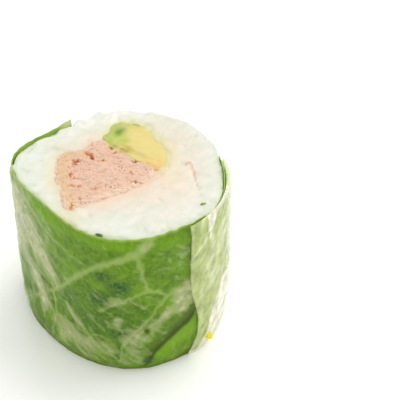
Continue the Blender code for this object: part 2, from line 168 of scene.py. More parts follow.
# Where the rice paper doesn't lie on the leaf and looks milky. Towards the left side these
# patches are also painted reflection of the light, drawn as milky film.
MILKY_AND_SHEEN = (
    (-166, 26, 2.4, 5.5, 0, 1.8), (-178, 23, 3.4, 7, 0, 1.4), (-147, 21.8, 6.4, 1.9, -42, 1.7),
    (-154, 25.5, 3.0, 2.6, -30, 1.0), (-151, 12.4, 4.6, 1.9, -48, 1.2),
    (-146.5, 8.6, 2.0, 2.2, 0, 0.8), (-156, 20, 9, 13, -20, 0.35),
    (-116.5, 11.6, 3.2, 0.7, -38, 0.6), (-127, 6.6, 2.8, 2.6, 0, 0.4),
    (-117, 6.2, 4.4, 2.0, -6, 0.4), (-104, 6.2, 4.2, 1.8, 0, 0.35), (-112, 2.6, 8, 2.0, 0, 0.2),
    (-90, 13.6, 0.8, 1.0, 0, 0.75), (-89, 18.8, 3, 1.2, 10, 0.3), (-81, 9.2, 2, 2.2, 20, 0.4),
    (-82, 4.4, 2.4, 2.4, 0, 0.25), (-77, 10.5, 4, 2.2, 10, 0.15), (-57, 18.6, 2.4, 1.4, 30, 0.5),
    (-54, 16.4, 1.8, 3.4, -20, 0.8), (-77, 31.6, 2.6, 1.0, 20, 0.4), (-169, 31.5, 6, 2.6, 0, 0.5),
    (-66.5, 13.6, 5.0, 1.2, 48, 0.5), (-58, 27, 2.6, 4.5, 0, 0.2), (-97, 11, 9, 9, 0, 0.12),
    (-188, 20, 3, 6, 10, 0.8), (-190, 9, 3, 4, 20, 0.6), (-173, 4, 4, 2, 10, 0.5),
    (30, 10, 5, 4, 15, 0.6), (58, 20, 4, 6, -10, 0.6), (12, 6, 4, 4, 0, 0.5),
    (-205, 26, 5, 3, 10, 0.6), (-222, 14, 4, 5, -10, 0.6),
)

# Whiter smears on the outer turn of the film, partly painted highlights, as above
WHITE_SMEARS_AND_HIGHLIGHTS = (
    (-43.5, 33, 1.3, 0.4, 50, 1), (-46, 27, 2.0, 0.5, 45, 0.9), (-41.5, 28.4, 0.5, 1.6, 0, 0.9),
    (-44, 24.4, 1.8, 0.5, 40, 0.6), (-36.2, 18.5, 1.6, 2.2, -20, 0.9),
    (-43, 15.6, 0.9, 2.2, -10, 0.7), (-33.8, 23.8, 2.6, 2.0, 30, 0.8), (-36, 27, 0.8, 2.2, 0, 0.7),
    (-25, 26, 1.6, 2.6, 0, 0.9), (-40, 21, 2.6, 0.6, 40, 0.7), (-46, 10, 0.6, 2.4, -10, 0.5),
    (-30, 16, 3, 3, 0, 0.5), (-12, 20, 3, 4, 20, 0.6), (5, 24, 3, 3, -20, 0.6),
    (0, 12, 4, 3, 10, 0.5),
)

# Hollows among the flakes: x, y, half length, half width, turn, depth
TUNA_PITS = (
    (-6.2, 5.3, 1.0, 0.6, -30, 0.6), (-5.6, 4.3, 0.9, 0.3, -65, 0.7),
    (-8.5, 3.0, 0.7, 0.45, 0, 0.7), (-8.6, 1.7, 0.3, 0.8, 10, 0.8), (-9.2, -1.6, 0.3, 0.6, 20, 0.7),
    (-8.4, -2.8, 0.6, 0.3, 20, 0.8), (-8.7, -5.1, 0.5, 0.35, 0, 0.4),
    (-7.4, -5.2, 0.6, 0.35, 30, 0.4), (-4.3, -5.8, 0.8, 0.2, 5, 0.5),
    (-1.1, 5.7, 0.7, 0.25, 10, 0.7), (-1.4, 7.6, 0.8, 0.5, 0, 0.8), (0.5, 6.2, 0.9, 0.35, -30, 0.7),
    (2.8, 3.2, 0.5, 0.35, -30, 0.8), (3.4, -3.6, 0.9, 0.25, -15, 0.7),
    (-8.3, -11.3, 0.2, 0.9, 0, 0.5), (-6.8, -9.1, 0.4, 0.3, 0, 0.5), (-3.6, 3.2, 0.8, 0.15, 5, 0.4),
    (2.4, -0.9, 0.2, 0.7, 15, 0.4),
)

# A split in the cut rice, and where it is stained: points, half width
SPLIT = ((13.0, 2.4), (13.6, 3.0), (14.1, 1.5), (14.5, -0.5), (14.8, -2.1), (15.4, -5.6))
# Dents in the cut rice: x, y, half length, half width, turn, strength. Painted shade greys them too.
DENTS = ((4.7, 19.2, 0.6, 0.4, 0, 0.5), (9.1, 17.1, 0.6, 0.4, -30, 0.5),
         (-15.4, 5.6, 0.9, 0.8, 0, 0.3), (15.0, 10.7, 0.6, 0.4, -50, 0.5),
         (8.8, -5.6, 0.5, 0.4, 0, 0.5))
PEACH_STAINS = (
    (((-3.5, -10.6), (1, -8.6), (4.5, -5.2), (7, -2)), 1.7, 0.75),
    (((3, -9.6), (8, -8), (12, -5)), 2.6, 0.3),
    (((8, -1), (11, -3), (12, -6)), 2.6, 0.3),
    (((9, 9), (11, 4), (12, -3)), 2.6, 0.35),
    (((7, 17), (12, 12), (14, 6)), 2.6, 0.25),
    (((-6, 12), (-12, 9)), 2.5, 0.3),
    (((13, 4.6), (14.6, 0)), 1.2, 0.35),
)
YELLOW_STAINS = (
    (((9.4, 9), (9.8, 5), (9.6, 1.0)), 1.6, 0.5), (((-13.2, 3), (-12.8, -6)), 1.2, 0.3),
    (((-9.4, -14.6), (-8, -16)), 1.4, 0.6), (((9.4, -1.8), (10.4, -3.4)), 1.2, 0.4),
)

HOLE = (-75.5, 10.6)  # a small hole in the leaf, drawn as a dark spot of painted shade, which shows through the film

# Colour spots on the cut fillings, laid out as the hollows are, with a strength last. The
# tuna's are painted shadow in its deepest hollows.
TUNA_PIT_SHADOWS = ((-5.4, 4.0, 0.8, 0.5, -60, 1), (-8.4, 3.3, 0.5, 0.3, 0, 0.6),
             (-1.3, 7.3, 0.6, 0.5, 0, 0.7), (2.7, 3.4, 0.6, 0.4, 0, 0.6),
             (-8.6, -2.9, 0.6, 0.3, 0, 0.5))
TUNA_FRINGE = ((-8, 7), (-11.6, 4.6), (-11.4, -2), (-9.6, -9), (-8.6, -12))
AVOCADO_SKIN = ((-3.2, 12.2), (-0.8, 15.6), (3.5, 15.8))
AVOCADO_SPOTS = {
    "lime": ((-1.6, 11.8, 1.6, 1.5, 0, 0.8), (0.4, 10.4, 1.2, 1.2, 0, 0.7),
             (-1.6, 9.4, 0.9, 0.9, 0, 0.5)),
    "olive": ((1.4, 7.4, 1.8, 0.9, -45, 0.6), (4.0, 5.2, 1.6, 0.8, -40, 0.4),
              (-1.3, 8.3, 0.7, 0.5, 0, 1.0), (0.6, 6.9, 1.0, 0.4, -35, 0.9)),
    "deep": ((-0.3, 13.6, 1.2, 0.7, 25, 0.8), (-0.8, 12.5, 0.7, 0.7, 0, 0.6),
             (-3.0, 11.6, 0.5, 0.5, 0, 0.4)),
    "blush": ((7.3, 1.0, 1.3, 0.8, -20, 0.9), (5.0, 2.6, 1.0, 0.5, -20, 0.5)),
}

# The table and the camera's lens and sensor in millimetres, and in metres the lamp, what
# it points at, its side and the camera's place
TABLE_HALF = 1500
LENS, SENSOR = 117, 36
LAMP, LAMP_TARGET = (0.55, 0.45, 1.1), (0, 0, 0.02)
LAMP_SIDE, LAMP_WATTS = 0.9, 6.5
CAMERA = (0.01564, -0.19853, 0.18679)
CAMERA_TILT = math.radians(51)


def one_turn(angle):
    """The same angle between -180 and 180."""
    return (angle + 180) % 360 - 180


def bump(angle, middle, half_width):
    """1 at middle, falling smoothly to 0 at half_width degrees to either side."""
    away = np.abs(one_turn(angle - middle)) / half_width
    return np.cos(np.minimum(away, 1) * np.pi / 2) ** 2


def smooth_step(value):
    """0 below 0, 1 above 1, and an even S between them."""
    value = np.clip(value, 0, 1)
    return value * value * (3 - 2 * value)


def lumps(points, size, seed, ways=36):
    """Smooth random relief, mostly -1 to 1, whose bumps are about size across."""
    draw = np.random.default_rng(seed)
    heading = draw.normal(size=(ways, points.shape[-1]))
    heading /= np.linalg.norm(heading, axis=1, keepdims=True)
    pitch = size * draw.uniform(1.4, 2.8, (ways, 1))
    swell = np.cos(points @ (2 * np.pi * heading / pitch).T + draw.uniform(0, 7, ways))
    return swell.sum(-1) / math.sqrt(2 * ways)


def stroke(points, path, start_width, end_width, soft=0.5):
    """1 on a drawn line and 0 beside it, for points and a path in the same plane."""
    path = np.array(path, float)
    runs = np.linalg.norm(np.diff(path, axis=0), axis=1)
    gone = np.concatenate([[0], np.cumsum(runs)]) / runs.sum()
    best = np.zeros(points.shape[:-1])
    for i in range(len(path) - 1):
        run = path[i + 1] - path[i]
        t = np.clip(((points - path[i]) @ run) / (run @ run), 0, 1)
        away = np.linalg.norm(points - path[i] - t[..., None] * run, axis=-1)
        share = gone[i] + (gone[i + 1] - gone[i]) * t
        half = (start_width + (end_width - start_width) * share) / 2
        best = np.maximum(best, smooth_step((half * (1 + soft) - away) / (2 * soft * half)))
    return best


def spots(points, marks, along=1.0):
    """Soft ovals added up, for points in a plane whose first axis is scaled by along."""
    total = np.zeros(points.shape[:-1])
    for x, y, half_x, half_y, lean, strength in marks:
        dx, dy = points[..., 0] - x * along, points[..., 1] - y
        c, s = math.cos(math.radians(lean)), math.sin(math.radians(lean))
        far = ((dx * c + dy * s) / half_x) ** 2 + ((dy * c - dx * s) / half_y) ** 2
        total += strength * np.exp(-0.9 * far**1.3)
    return total


def line_at(at, path):
    """A drawn line of pairs, read at their first value."""
    return np.interp(at, *zip(*path))


def frayed(flat, reach, size, seed):
    """Points in a plane pushed about, so that what is drawn on them looks torn."""
    return flat + reach * np.stack([lumps(flat, size, seed), lumps(flat, size, seed + 1)], -1)


def on_wrap(path):
    """(angle, height) points as millimetres on the unrolled wrap."""
    return [(angle * ALONG, z) for angle, z in path]


def round_points(radius, angle, z):
    """Points at a distance from the roll's axis, an angle round it and a height."""
    turn = np.radians(angle)
    return np.stack([radius * np.cos(turn), radius * np.sin(turn), z + 0 * radius], -1)


def polar(points):
    """Distance from the axis, and the angle round it."""
    x, y = points[..., 0], points[..., 1]
    return np.hypot(x, y), np.degrees(np.arctan2(y, x))


def at_height(flat, z):
    """Points in a plane with a height added."""
    return np.concatenate([flat, (z + 0 * flat[..., 0])[..., None]], -1)


def wrap_radius(angle, z):
    """Outside of one turn of rice paper at one angle and height."""
    radius = MEAN_RADIUS + sum(
        depth * np.cos(np.radians(waves * (angle - crest)))
        for waves, depth, crest in OUTLINE_WAVES
    )
    # The cut edges are drawn in, and the foot spreads at the front left.
    foot, rim = smooth_step(z / FOOT_TUCK_HEIGHT), smooth_step((HEIGHT - z) / RIM_TUCK_HEIGHT)
    radius = radius - FOOT_TUCK * (1 - foot) ** 2 - RIM_TUCK * (1 - rim) ** 2
    spread = FOOT_SPREAD * bump(angle, FOOT_SPREAD_ANGLE, FOOT_SPREAD_HALF_WIDTH)
    radius = radius + spread * (1 - smooth_step(z / FOOT_SPREAD_HEIGHT)) ** 2
    # The doubled film swells it, from just before its outer edge to just past its inner one.
    first, last = PAPER_EDGE - 6, PAPER_EDGE + PAPER_OVERLAP + 2
    turn = one_turn(angle)
    lapped = smooth_step((turn - first) / 10) * (1 - smooth_step((turn - last) / PAPER_STEP))
    radius = radius + SWELL * lapped
    half_way_up = smooth_step(z / 5) * smooth_step((20 - z) / 10)
    radius = radius - FLANK_DIP * bump(angle, FLANK, 24) * half_way_up
    lean = RIM_OUT * bump(angle, BACK_RIGHT, 36) - RIM_IN * bump(angle, BACK_LEFT, 40)
    radius = radius + lean * smooth_step((z - 12) / 18)
    ripple = np.sin(np.radians(8 * angle) + 0.25 * z) + np.sin(np.radians(5 * angle) - 0.17 * z)
    return radius + RIPPLE * ripple * foot * rim


def stand_off(angle):
    """How far the film's outer turn stands off what is under it."""
    return STAND_OFF * bump(angle, LOOSE_ANGLE, LOOSE_HALF_WIDTH)


def leaf_radius(angle, z):
    """Outside of the leaf, close under the film."""
    return wrap_radius(angle, z) - FILM - 0.05 - stand_off(angle)


def cut_rise(angle, radius=MEAN_RADIUS):
    """How far the tilted, uneven upper cut stands over its middle at a point from above."""
    outward = smooth_step((radius / MEAN_RADIUS - 0.5) / 0.45)
    uneven = (RIM_UP * bump(angle, BACK_RIGHT, 40) - RIM_DOWN * bump(angle, BACK_LEFT, 45)) * outward
    return CUT_RISE * radius * np.cos(np.radians(angle - CUT_RISE_ANGLE)) / MEAN_RADIUS + uneven


def leaf_rim(angle):
    """Height of the leaf's rim, which is low at the back right and torn at the front."""
    turn = one_turn(angle)
    wander = 0.2 * np.sin(np.radians(5 * angle + 20))
    wander = wander + sum(rise * bump(angle, *place) for rise, *place in RIM_BUMPS)
    low_back = smooth_step((turn - 8) / 8) * (1 - smooth_step((turn - 76) / 4))
    return HEIGHT + cut_rise(angle) + wander - line_at(turn, TORN_NOTCH) - low_back


def leaf_hem(angle):
    """Height of the leaf's lower edge, which leaves a corner bare at the right."""
    return 0.05 + 0.06 * (1 + np.sin(np.radians(7 * angle))) + line_at(one_turn(angle), BARE_FOOT)


def rice_radius(angle, z):
    """Outside of the rice, which swells where no leaf holds it in."""
    flare = 0.16 + 0.2 * bump(angle, 12, 50)
    held = leaf_radius(angle, z) - LEAF - 0.02 + flare * smooth_step((z - HEIGHT + 1.8) / 1.2)
    held = held - 0.2 * bump(angle, 168, 13) * smooth_step((z - HEIGHT + 3) / 2)
    over_rim = z - leaf_rim(angle) + cut_rise(angle)
    bare = np.maximum(bump(angle, 98, 30), smooth_step((leaf_hem(angle) - z) / 1.5))
    bare = np.maximum(bare, 1.4 * smooth_step((over_rim + 0.3) / 0.6))
    return held + 0.3 * bare


def rice_top(points):
    """Height of the cut rice between its grains. It sinks a little to the tuna."""
    far, angle = polar(points)
    slump = 0.5 * bump(angle, 132, 50) * smooth_step((far - 15) / 5)
    tuna, _ = distance_to(points[..., :2], TUNA_EDGE)
    beside = 0.2 * smooth_step((0.9 - tuna) / 1.4)
    return CORE_TOP + 0.15 - slump - beside


def smooth_outline(points, steps=24):
    """A closed Catmull-Rom outline."""
    knots = np.array(points, float)
    t = np.linspace(0, 1, steps, endpoint=False)[:, None]
    curve = []
    for i in range(len(knots)):
        a, b, c, d = (knots[(i + k) % len(knots)] for k in (-1, 0, 1, 2))
        curve.append(0.5 * (2 * b + (c - a) * t + (2 * a - 5 * b + 4 * c - d) * t**2
                            + (3 * b - a - 3 * c + d) * t**3))
    return np.concatenate(curve)


def reach_round(outline, middle, turns):
    """Distance from a middle to an outline round it, at each of the angles turns."""
    from_middle = outline - middle
    angle = np.degrees(np.arctan2(from_middle[:, 1], from_middle[:, 0])) % 360
    order = np.argsort(angle)
    far = np.linalg.norm(from_middle, axis=1)
    return np.interp(turns % 360, angle[order], far[order], period=360)


def distance_to(points, outline):
    """Distance of points to an outline, negative within it, and the way that it runs."""
    best = np.full(points.shape[:-1], np.inf)
    way = np.zeros(points.shape)
    odd = np.zeros(points.shape[:-1], bool)
    for a, b in zip(outline, np.roll(outline, -1, 0)):
        run = b - a
        t = np.clip(((points - a) @ run) / (run @ run), 0, 1)
        away = np.linalg.norm(points - a - t[..., None] * run, axis=-1)
        way[away < best] = run / np.linalg.norm(run)
        best = np.minimum(best, away)
        crosses = (a[1] > points[..., 1]) != (b[1] > points[..., 1])
        if a[1] != b[1]:
            at = a[0] + (b[0] - a[0]) * (points[..., 1] - a[1]) / (b[1] - a[1])
            odd ^= crosses & (points[..., 0] < at)
    return np.where(odd, -best, best), way


# The fillings' outlines with enough points to measure from
TUNA_EDGE = smooth_outline(TUNA_OUTLINE, 6)
AVOCADO_EDGE = smooth_outline(AVOCADO_OUTLINE, 6)


def pressed(points, seed, pitch, half, lie=0.0, spread=90.0):
    """Relief of grains or flakes pressed into one mass: about 1 on a back, 0 where two
    part, blended softly. Most lie within spread degrees of the direction lie."""
    draw = np.random.default_rng(seed)
    low, high = points.min((0, 1)) - half[0], points.max((0, 1)) + half[0]
    total = np.full(points.shape[:-1], 1.0)
    crisp = 9.0
    for x in np.arange(low[0], high[0], pitch):
        for y in np.arange(low[1], high[1], pitch):
            centre = np.array([x, y]) + draw.uniform(-0.5, 0.5, 2) * pitch
            turn = math.radians(lie + draw.uniform(-spread, spread))
            stand, tip = draw.uniform(0.45, 1.0), draw.uniform(-0.25, 0.25)
            long, wide = np.array(half) * draw.uniform(0.8, 1.15, 2)
            near = np.abs(points - centre).max(-1) < long
            if near.any():
                dx, dy = (points[near] - centre).T
                along = (dx * math.cos(turn) + dy * math.sin(turn)) / long
                across = (dy * math.cos(turn) - dx * math.sin(turn)) / wide
                dome = np.sqrt(np.maximum(1 - along**2 - across**2, 0))
                total[near] += np.expm1(crisp * dome * (stand + tip * along))
    return np.log(total) / crisp


def add_object(name, data):
    """A new object in the scene."""
    made = bpy.data.objects.new(name, data)
    bpy.context.scene.collection.objects.link(made)
    return made


def put_marks(mesh, marks):
    """Stores named marks on a mesh's points, each one value or a vector of three a point."""
    for name, values in marks.items():
        values = np.ascontiguousarray(values, np.float32)
        vector = values.ndim > 1 and values.shape[-1] == 3
        mark = mesh.attributes.new(name, "FLOAT_VECTOR" if vector else "FLOAT", "POINT")
        mark.data.foreach_set("vector" if vector else "value", values.ravel())


def mesh_object(name, points, faces, marks=None):
    """An object from points in millimetres, faces, and named marks on its points."""
    mesh = bpy.data.meshes.new(name)
    mesh.from_pydata((points * MM).tolist(), [], faces)
    put_marks(mesh, marks or {})
    mesh.shade_smooth()
    return add_object(name, mesh)


def points_of(mesh):
    """A mesh's points in millimetres."""
    flat = np.empty(len(mesh.vertices) * 3, np.float32)
    mesh.vertices.foreach_get("co", flat)
    return flat.reshape(-1, 3).astype(float) / MM


def lean_cut(piece):
    """Tilts a piece's upper cut, and what is under it less and less towards the table."""
    points = points_of(piece.data)
    far, angle = polar(points)
    points[:, 2] += cut_rise(angle, far) * np.clip(points[:, 2] / HEIGHT, 0, 1) ** 2
    piece.data.vertices.foreach_set("co", (points * MM).astype(np.float32).ravel())
    piece.data.update()


def baked(source, name):
    """A plain mesh object from an object with modifiers, which is removed."""
    graph = bpy.context.evaluated_depsgraph_get()
    mesh = bpy.data.meshes.new_from_object(source.evaluated_get(graph))
    mesh.name = name
    bpy.data.objects.remove(source)
    return add_object(name, mesh)


def fused(name, pieces, cell, passes):
    """One softened skin over closed pieces that run into each other."""
    shape = bmesh.new()
    for piece in pieces:
        shape.from_mesh(piece.data)
        bpy.data.objects.remove(piece)
    mesh = bpy.data.meshes.new(name)
    shape.to_mesh(mesh)
    shape.free()
    loose = add_object(name, mesh)
    skin = loose.modifiers.new("one skin", "REMESH")
    skin.mode = "VOXEL"
    skin.voxel_size = cell * MM
    loose.modifiers.new("softened", "SMOOTH").iterations = passes
    return baked(loose, name)


def closed_column(name, rings):
    """A closed solid from rings of points, first its lower middle, last its upper one."""
    count = len(rings[0])
    points = np.concatenate([rings[0].mean(0, keepdims=True), *rings,
                             rings[-1].mean(0, keepdims=True)])
    faces = []
    for i in range(count):
        k = (i + 1) % count
        faces.append((0, 1 + k, 1 + i))
        for row in range(len(rings) - 1):
            low, high = 1 + row * count, 1 + (row + 1) * count
            faces.append((low + i, low + k, high + k, high + i))
        last = 1 + (len(rings) - 1) * count
        faces.append((last + i, last + k, len(points) - 1))
    return mesh_object(name, points, faces)


def grid_quads(index):
    """The quads of a grid of point numbers."""
    corners = (index[:-1, :-1], index[:-1, 1:], index[1:, 1:], index[1:, :-1])
    return np.stack([corner.ravel() for corner in corners], 1)


def thin_sheet(name, outer, inner, marks):
    """A closed thin sheet between two grids of points, with the marks on both faces."""
    count = outer[..., 0].size
    index = np.arange(count).reshape(outer.shape[:2])
    quads = grid_quads(index)
    border = np.concatenate([index[0, :-1], index[:-1, -1], index[-1, :0:-1], index[:0:-1, 0]])
    after = np.roll(border, -1)
    rim = np.stack([border, border + count, after + count, after], 1)
    faces = np.concatenate([quads, quads[:, ::-1] + count, rim]).tolist()
    points = np.concatenate([outer.reshape(-1, 3), inner.reshape(-1, 3)])
    both = {mark: np.concatenate([v, v]).reshape(2 * count, -1) for mark, v in marks.items()}
    made = mesh_object(name, points, faces, both)
    made.data.set_sharp_from_angle(angle=math.radians(55))
    return made


def srgb(code):
    """A linear colour from an sRGB hex value."""
    parts = [int(code[i:i + 2], 16) / 255 for i in (1, 3, 5)]
    linear = [c / 12.92 if c <= 0.04045 else ((c + 0.055) / 1.055) ** 2.4 for c in parts]
    return (*linear, 1)


def set_inputs(tree, node, inputs):
    """Sets a node's inputs, each to a value or to a link from a node or a socket."""
    for socket, value in inputs.items():
        if isinstance(value, bpy.types.Node):
            value = next(out for out in value.outputs if out.enabled)
        if isinstance(value, bpy.types.NodeSocket):
            tree.links.new(value, node.inputs[socket])
        else:
            node.inputs[socket].default_value = value


def add_node(tree, kind, inputs=None, **settings):
    """Adds a node with its settings and inputs. ShaderNode may be left off its kind."""
    full = kind.startswith(("GeometryNode", "FunctionNode", "NodeGroup"))
    made = tree.nodes.new(kind if full else "ShaderNode" + kind)
    for name, value in settings.items():
        setattr(made, name, value)
    set_inputs(tree, made, inputs or {})
    return made


def new_material(name):
    """A material, the function that adds nodes to it, and its object coordinates."""
    material = bpy.data.materials.new(name)
    material.use_nodes = True
    node = functools.partial(add_node, material.node_tree)
    return material, node, node("TexCoord").outputs["Object"]


def layer_colours(node, ground, layers):
    """Lays colours over a ground, each as (where, colour, share). Where is a mark's name,
    or a node with the values at which it shows none and all of the colour."""
    ground = srgb(ground)
    for where, code, share in layers:
        if isinstance(where, str):
            where = node("Attribute", attribute_name=where).outputs["Fac"]
        else:
            where = node("MapRange", dict(enumerate(where)))
        amount = node("Math", {0: where, 1: share}, operation="MULTIPLY", use_clamp=True)
        ground = node("Mix", {0: amount, 6: ground, 7: srgb(code)}, data_type="RGBA")
    return ground


def finish_shader(material, inputs):
    """Sets the inputs of a material's shader."""
    set_inputs(material.node_tree, material.node_tree.nodes["Principled BSDF"], inputs)
    return material


def rice_material():
    """Steamed short-grain rice: near white and moist, light goes a little way in, and
    it is warmer where the fillings have stained it. Painted light makes its back lighter,
    and painted shade darkens it along the rim and in the dents."""
    material, node, place = new_material("steamed short-grain rice")
    blotch = node("TexNoise", {"Vector": place, "Scale": PER_MM / 3, "Detail": 2.0})
    grains = node("Mapping", {"Vector": place, "Rotation": (0.5, 0.3, 0.9), "Scale": (1.9, 1, 1)},
                  vector_type="TEXTURE")
    cells = node("TexVoronoi", {"Vector": grains, "Scale": PER_MM / 2.2},
                 feature="DISTANCE_TO_EDGE")
    colour = layer_colours(node, "#dcdfd3", (
        # pale is painted light: the back of the cut is drawn lighter
        ("warm", "#e2dacd", 1.0), ("dim", "#dcd6ca", 0.6), ("pale", "#eae8e1", 1.0),
        ((blotch, 0.4, 0.7), "#cbd1bf", 0.65), ((cells, 0.34, 0), "#c8cebd", 0.3),
        # rimmed is painted shade, greenish, along the rice's rim at the left and front
        ("rimmed", "#bccaa0", 0.6), ("peach", "#e3c4a8", 0.8), ("yellow", "#e0d09c", 0.8),
        ("by_avocado", "#d3cd8c", 1.0), ("beside", "#dfbea4", 1.0), ("sallow", "#d9c296", 0.8),
        # dent is painted shade in the dents of the cut
        ("dent", "#a9ad9c", 0.5), ("brown", "#bd8a50", 0.8),
    ))
    speck = node("TexNoise", {"Vector": place, "Scale": PER_MM / 0.7})
    rounded = node("MapRange", {0: cells, 1: 0.0, 2: 0.3})
    uneven = node("Math", {0: speck, 1: 0.4, 2: rounded}, operation="MULTIPLY_ADD")
    relief = node("Bump", {"Strength": 0.4, "Distance": 0.2 * MM, "Height": uneven})
    return finish_shader(material, {
        "Base Color": colour, "Normal": relief, "Roughness": 0.42, "IOR": 1.4,
        "Subsurface Weight": 0.25, "Subsurface Radius": (1.0, 0.9, 0.75),
        "Subsurface Scale": 0.5 * MM})


def tuna_material():
    """Cooked tuna: matt pinkish-beige fibres, browner in the hollows between flakes, with painted
    shadow in the deepest of them.
    """
    material, node, place = new_material("cooked flaked tuna")
    turned = node("Mapping", {"Vector": place, "Rotation": (0, 0, math.radians(FISH_GRAIN)),
                              "Scale": (3, 1, 1.5)}, vector_type="TEXTURE")
    fibre = node("TexNoise", {"Vector": turned, "Scale": PER_MM / 2.2, "Detail": 3.0,
                              "Distortion": 0.4})
    dots = node("TexNoise", {"Vector": turned, "Scale": PER_MM / 0.6, "Detail": 2.0,
                             "Roughness": 0.6})
    blots = node("TexNoise", {"Vector": place, "Scale": PER_MM / 1.2, "Detail": 1.0})
    colour = layer_colours(node, "#dab6a0", (
        ((fibre, 0.5, 0.72), "#cfa58a", 0.5), ("tone", "#e2c2ac", 0.3),
        ((blots, 0.54, 0.68), "#c9a585", 0.6), ("fringe", "#d3b284", 0.9),
        ("edge", "#e2c8b0", 0.8), ((dots, 0.57, 0.66), "#c08c66", 0.5),
        ("by_avocado", "#c9bb78", 0.8), ("hole", "#c4895c", 0.7), ("pit", "#c87f42", 1.0),
        # dark is painted shadow in the deepest hollows
        ("dark", "#95521e", 0.9),
    ))
    relief = node("Bump", {"Strength": 0.5, "Distance": 0.2 * MM, "Height": fibre})
    return finish_shader(material, {
        "Base Color": colour, "Normal": relief, "Roughness": 0.62, "IOR": 1.4,
        "Subsurface Weight": 0.35, "Subsurface Radius": (1.4, 0.8, 0.5), "Subsurface Scale": MM})


def avocado_material():
    """Ripe avocado: buttery and smooth, green under the skin and yellow further in."""
    material, node, place = new_material("ripe avocado flesh")
    cloud = node("TexNoise", {"Vector": place, "Scale": PER_MM / 3, "Detail": 3.0})
    colour = layer_colours(node, "#d6c477", (
        ("orange", "#d9b864", 1.0), ("green", "#a7b04e", 1.0), ("lime", "#a0b536", 1.0),
        ("olive", "#9d8c22", 1.0), ("deep", "#5c8a26", 1.0), ((cloud, 0.42, 0.75), "#dcd297", 0.3),
        ("edge", "#d8cd88", 0.35), ("blush", "#dca772", 1.0),
    ))
    grain = node("TexNoise", {"Vector": place, "Scale": PER_MM / 1.2})
    relief = node("Bump", {"Strength": 0.15, "Distance": 0.15 * MM, "Height": grain})
    return finish_shader(material, {
        "Base Color": colour, "Normal": relief, "Roughness": 0.4, "IOR": 1.45,
        "Subsurface Weight": 0.3, "Subsurface Radius": (1.3, 1.1, 0.4), "Subsurface Scale": MM})


def leaf_material():
    """Fresh lettuce under a wet film: satin green, a pale net of veins, and darker and
    yellower patches. Painted shadow, dark olive-brown, lies along a fold, under the
    film's edge, at the foot and in a small hole, and the underside is paler and lighter
    still as painted light."""
    material, node, place = new_material("fresh lettuce leaf")
    swirl = node("TexNoise", {"Vector": place, "Scale": PER_MM / 3}).outputs["Color"]
    bend = node("VectorMath", {0: swirl, 1: (2 * MM, 2 * MM, 2 * MM)}, operation="MULTIPLY")
    bent = node("VectorMath", {0: place, 1: bend}, operation="ADD")
    cells = node("TexVoronoi", {"Vector": bent, "Scale": PER_MM / 2.6}, feature="DISTANCE_TO_EDGE")
    fine = node("TexNoise", {"Vector": place, "Scale": PER_MM / 0.7, "Detail": 3.0,
                             "Roughness": 0.7})
    cloud = node("TexNoise", {"Vector": place, "Scale": PER_MM / 5, "Detail": 4.0,
                              "Roughness": 0.6})
    crumple = node("TexNoise", {"Vector": place, "Scale": PER_MM / 1.8, "Detail": 5.0,
                                "Roughness": 0.65, "Distortion": 0.6})
    colour = layer_colours(node, "#5b840a", (
        ((cloud, 0.45, 0.75), "#729a1c", 0.7), ((cloud, 0.52, 0.3), "#44690b", 0.7),
        ((crumple, 0.5, 0.68), "#7fa62a", 0.5), ((crumple, 0.5, 0.34), "#42680c", 0.5),
        # The inner face's colour is the leaf's paler underside, made lighter still as painted light
        ("yellow_green", "#6f9e08", 1.0), ("inside", "#a3c455", 1.0), ("deep", "#244f26", 0.9),
        ((cells, 0.12, 0), "#8fac3c", 0.13), ((fine, 0.48, 0.7), "#8bab3a", 0.4),
        # fold is painted shadow, dark olive, above the fold's crisp lower edge
        ("vein", "#a4b96a", 0.7), ("fold", "#3b471a", 1.0), ("cut", "#9cba4a", 0.8),
        # strip is painted shadow under the film's edge and at the front right rim; hole is painted
        # shade in a small hole
        ("pale_rim", "#d3de9c", 0.9), ("strip", "#52701a", 0.4), ("hole", "#463c10", 1.0),
        # The dark olive at the foot is painted contact shade
        ("damp", "#63651a", 0.8),
    ))
    relief = node("Bump", {"Strength": 0.5, "Distance": 0.2 * MM, "Height": crumple})
    return finish_shader(material, {
        "Base Color": colour, "Normal": relief, "Roughness": 0.4, "IOR": 1.33,
        "Specular IOR Level": 0.35, "Subsurface Weight": 0.08,
        "Subsurface Radius": (0.5, 0.9, 0.2), "Subsurface Scale": 0.4 * MM})


